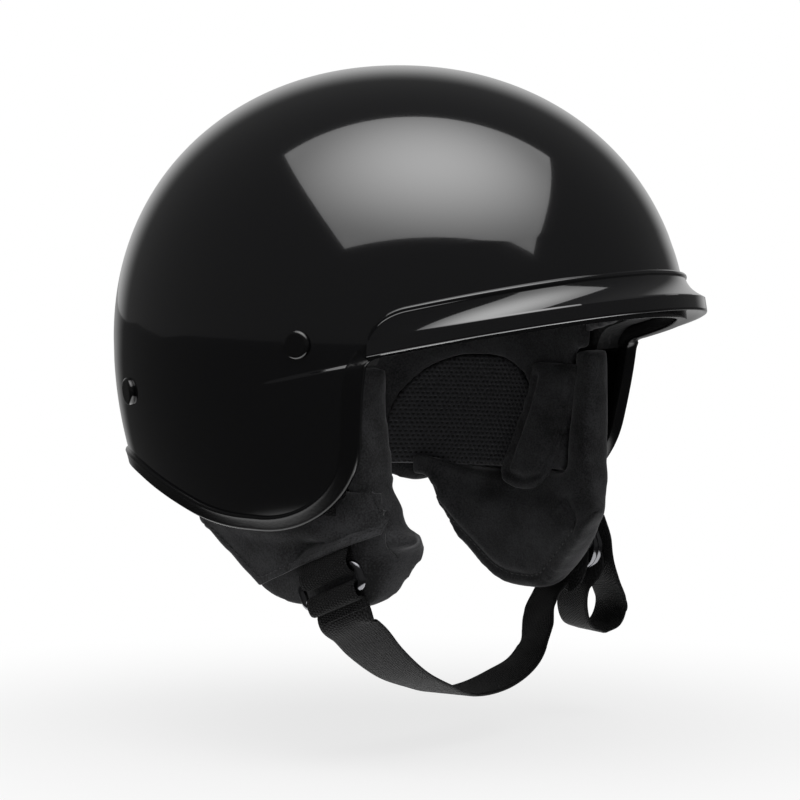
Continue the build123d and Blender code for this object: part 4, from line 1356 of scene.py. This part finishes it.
# The backdrop stands behind the helmet, so only reflections that go that way show it.
place = put(tree, "ShaderNodeTexCoord")
toward = put(
    tree, "ShaderNodeVectorMath", [(0, place.outputs["Generated"]), (1, behind)], operation="DOT_PRODUCT"
)
drop = put(
    tree,
    "ShaderNodeMapRange",
    [("Value", toward.outputs["Value"])],
    interpolation_type="SMOOTHSTEP",
    From_Min=0.76,
    From_Max=0.97,
    To_Min=0.0,
    To_Max=0.42,
)
pale = put(tree, "ShaderNodeMath", [(0, drop.outputs[0]), (1, 0.07)], operation="ADD")
mirrored = put(tree, "ShaderNodeBackground", [("Strength", pale.outputs[0])], Color=linear("ffffff"))
shown = ray_mix(tree, soft, mirrored, white)
put(tree, "ShaderNodeOutputWorld", [("Surface", shown.outputs[0])])


def add_lamp(name, place, size, radiance):
    """A soft box at a place, facing the helmet."""
    bpy.ops.object.light_add(type="AREA", location=place)
    lamp = bpy.context.object
    lamp.name = name
    lamp.data.shape = "RECTANGLE"
    lamp.data.size, lamp.data.size_y = size
    lamp.data.energy = radiance * size[0] * size[1] * math.pi
    facing = -Vector(place).normalized()
    side = facing.cross(Vector((0, 0, 1))).cross(facing)
    lamp.rotation_euler = Matrix((facing.cross(side), side, -facing)).transposed().to_euler()
    lamp.visible_camera = False
    return lamp


def soften_lamp(lamp, centre, edge):
    """Makes a soft box brighter in its middle than at its edges."""
    lamp.data.use_nodes = True
    tree = lamp.data.node_tree
    tree.nodes.clear()
    place = put(tree, "ShaderNodeTexCoord")
    from_middle = [(0, place.outputs["UV"]), (1, (0.5, 0.5, 0))]
    middle = put(tree, "ShaderNodeVectorMath", from_middle, operation="SUBTRACT")
    apart = put(tree, "ShaderNodeVectorMath", [(0, middle.outputs[0])], operation="LENGTH")
    fall = put(
        tree,
        "ShaderNodeMapRange",
        [("Value", apart.outputs["Value"])],
        interpolation_type="SMOOTHSTEP",
        From_Min=0.0,
        From_Max=0.62,
        To_Min=centre,
        To_Max=edge,
    )
    glow = put(tree, "ShaderNodeEmission", [("Strength", fall.outputs[0])])
    put(tree, "ShaderNodeOutputLight", [("Surface", glow.outputs[0])])


box_lean = math.radians(18.5)
box_distance = 1.3
box_size = (2.05, 1.62)
overhead = level_out * math.sin(box_lean) + Vector((0, 0, 1)) * math.cos(box_lean)
box = add_lamp("key box", overhead * box_distance + right * 0.03, box_size, radiance=1.0)
soften_lamp(box, centre=3.4, edge=1.0)
# A fill from the camera's side reaches the pads inside. The lacquer does not mirror it.
fill = add_lamp("fill", level_out * 1.9 + right * 0.5 - Vector((0, 0, 0.05)), (1.3, 1.0), radiance=2.0)
fill.visible_glossy = False
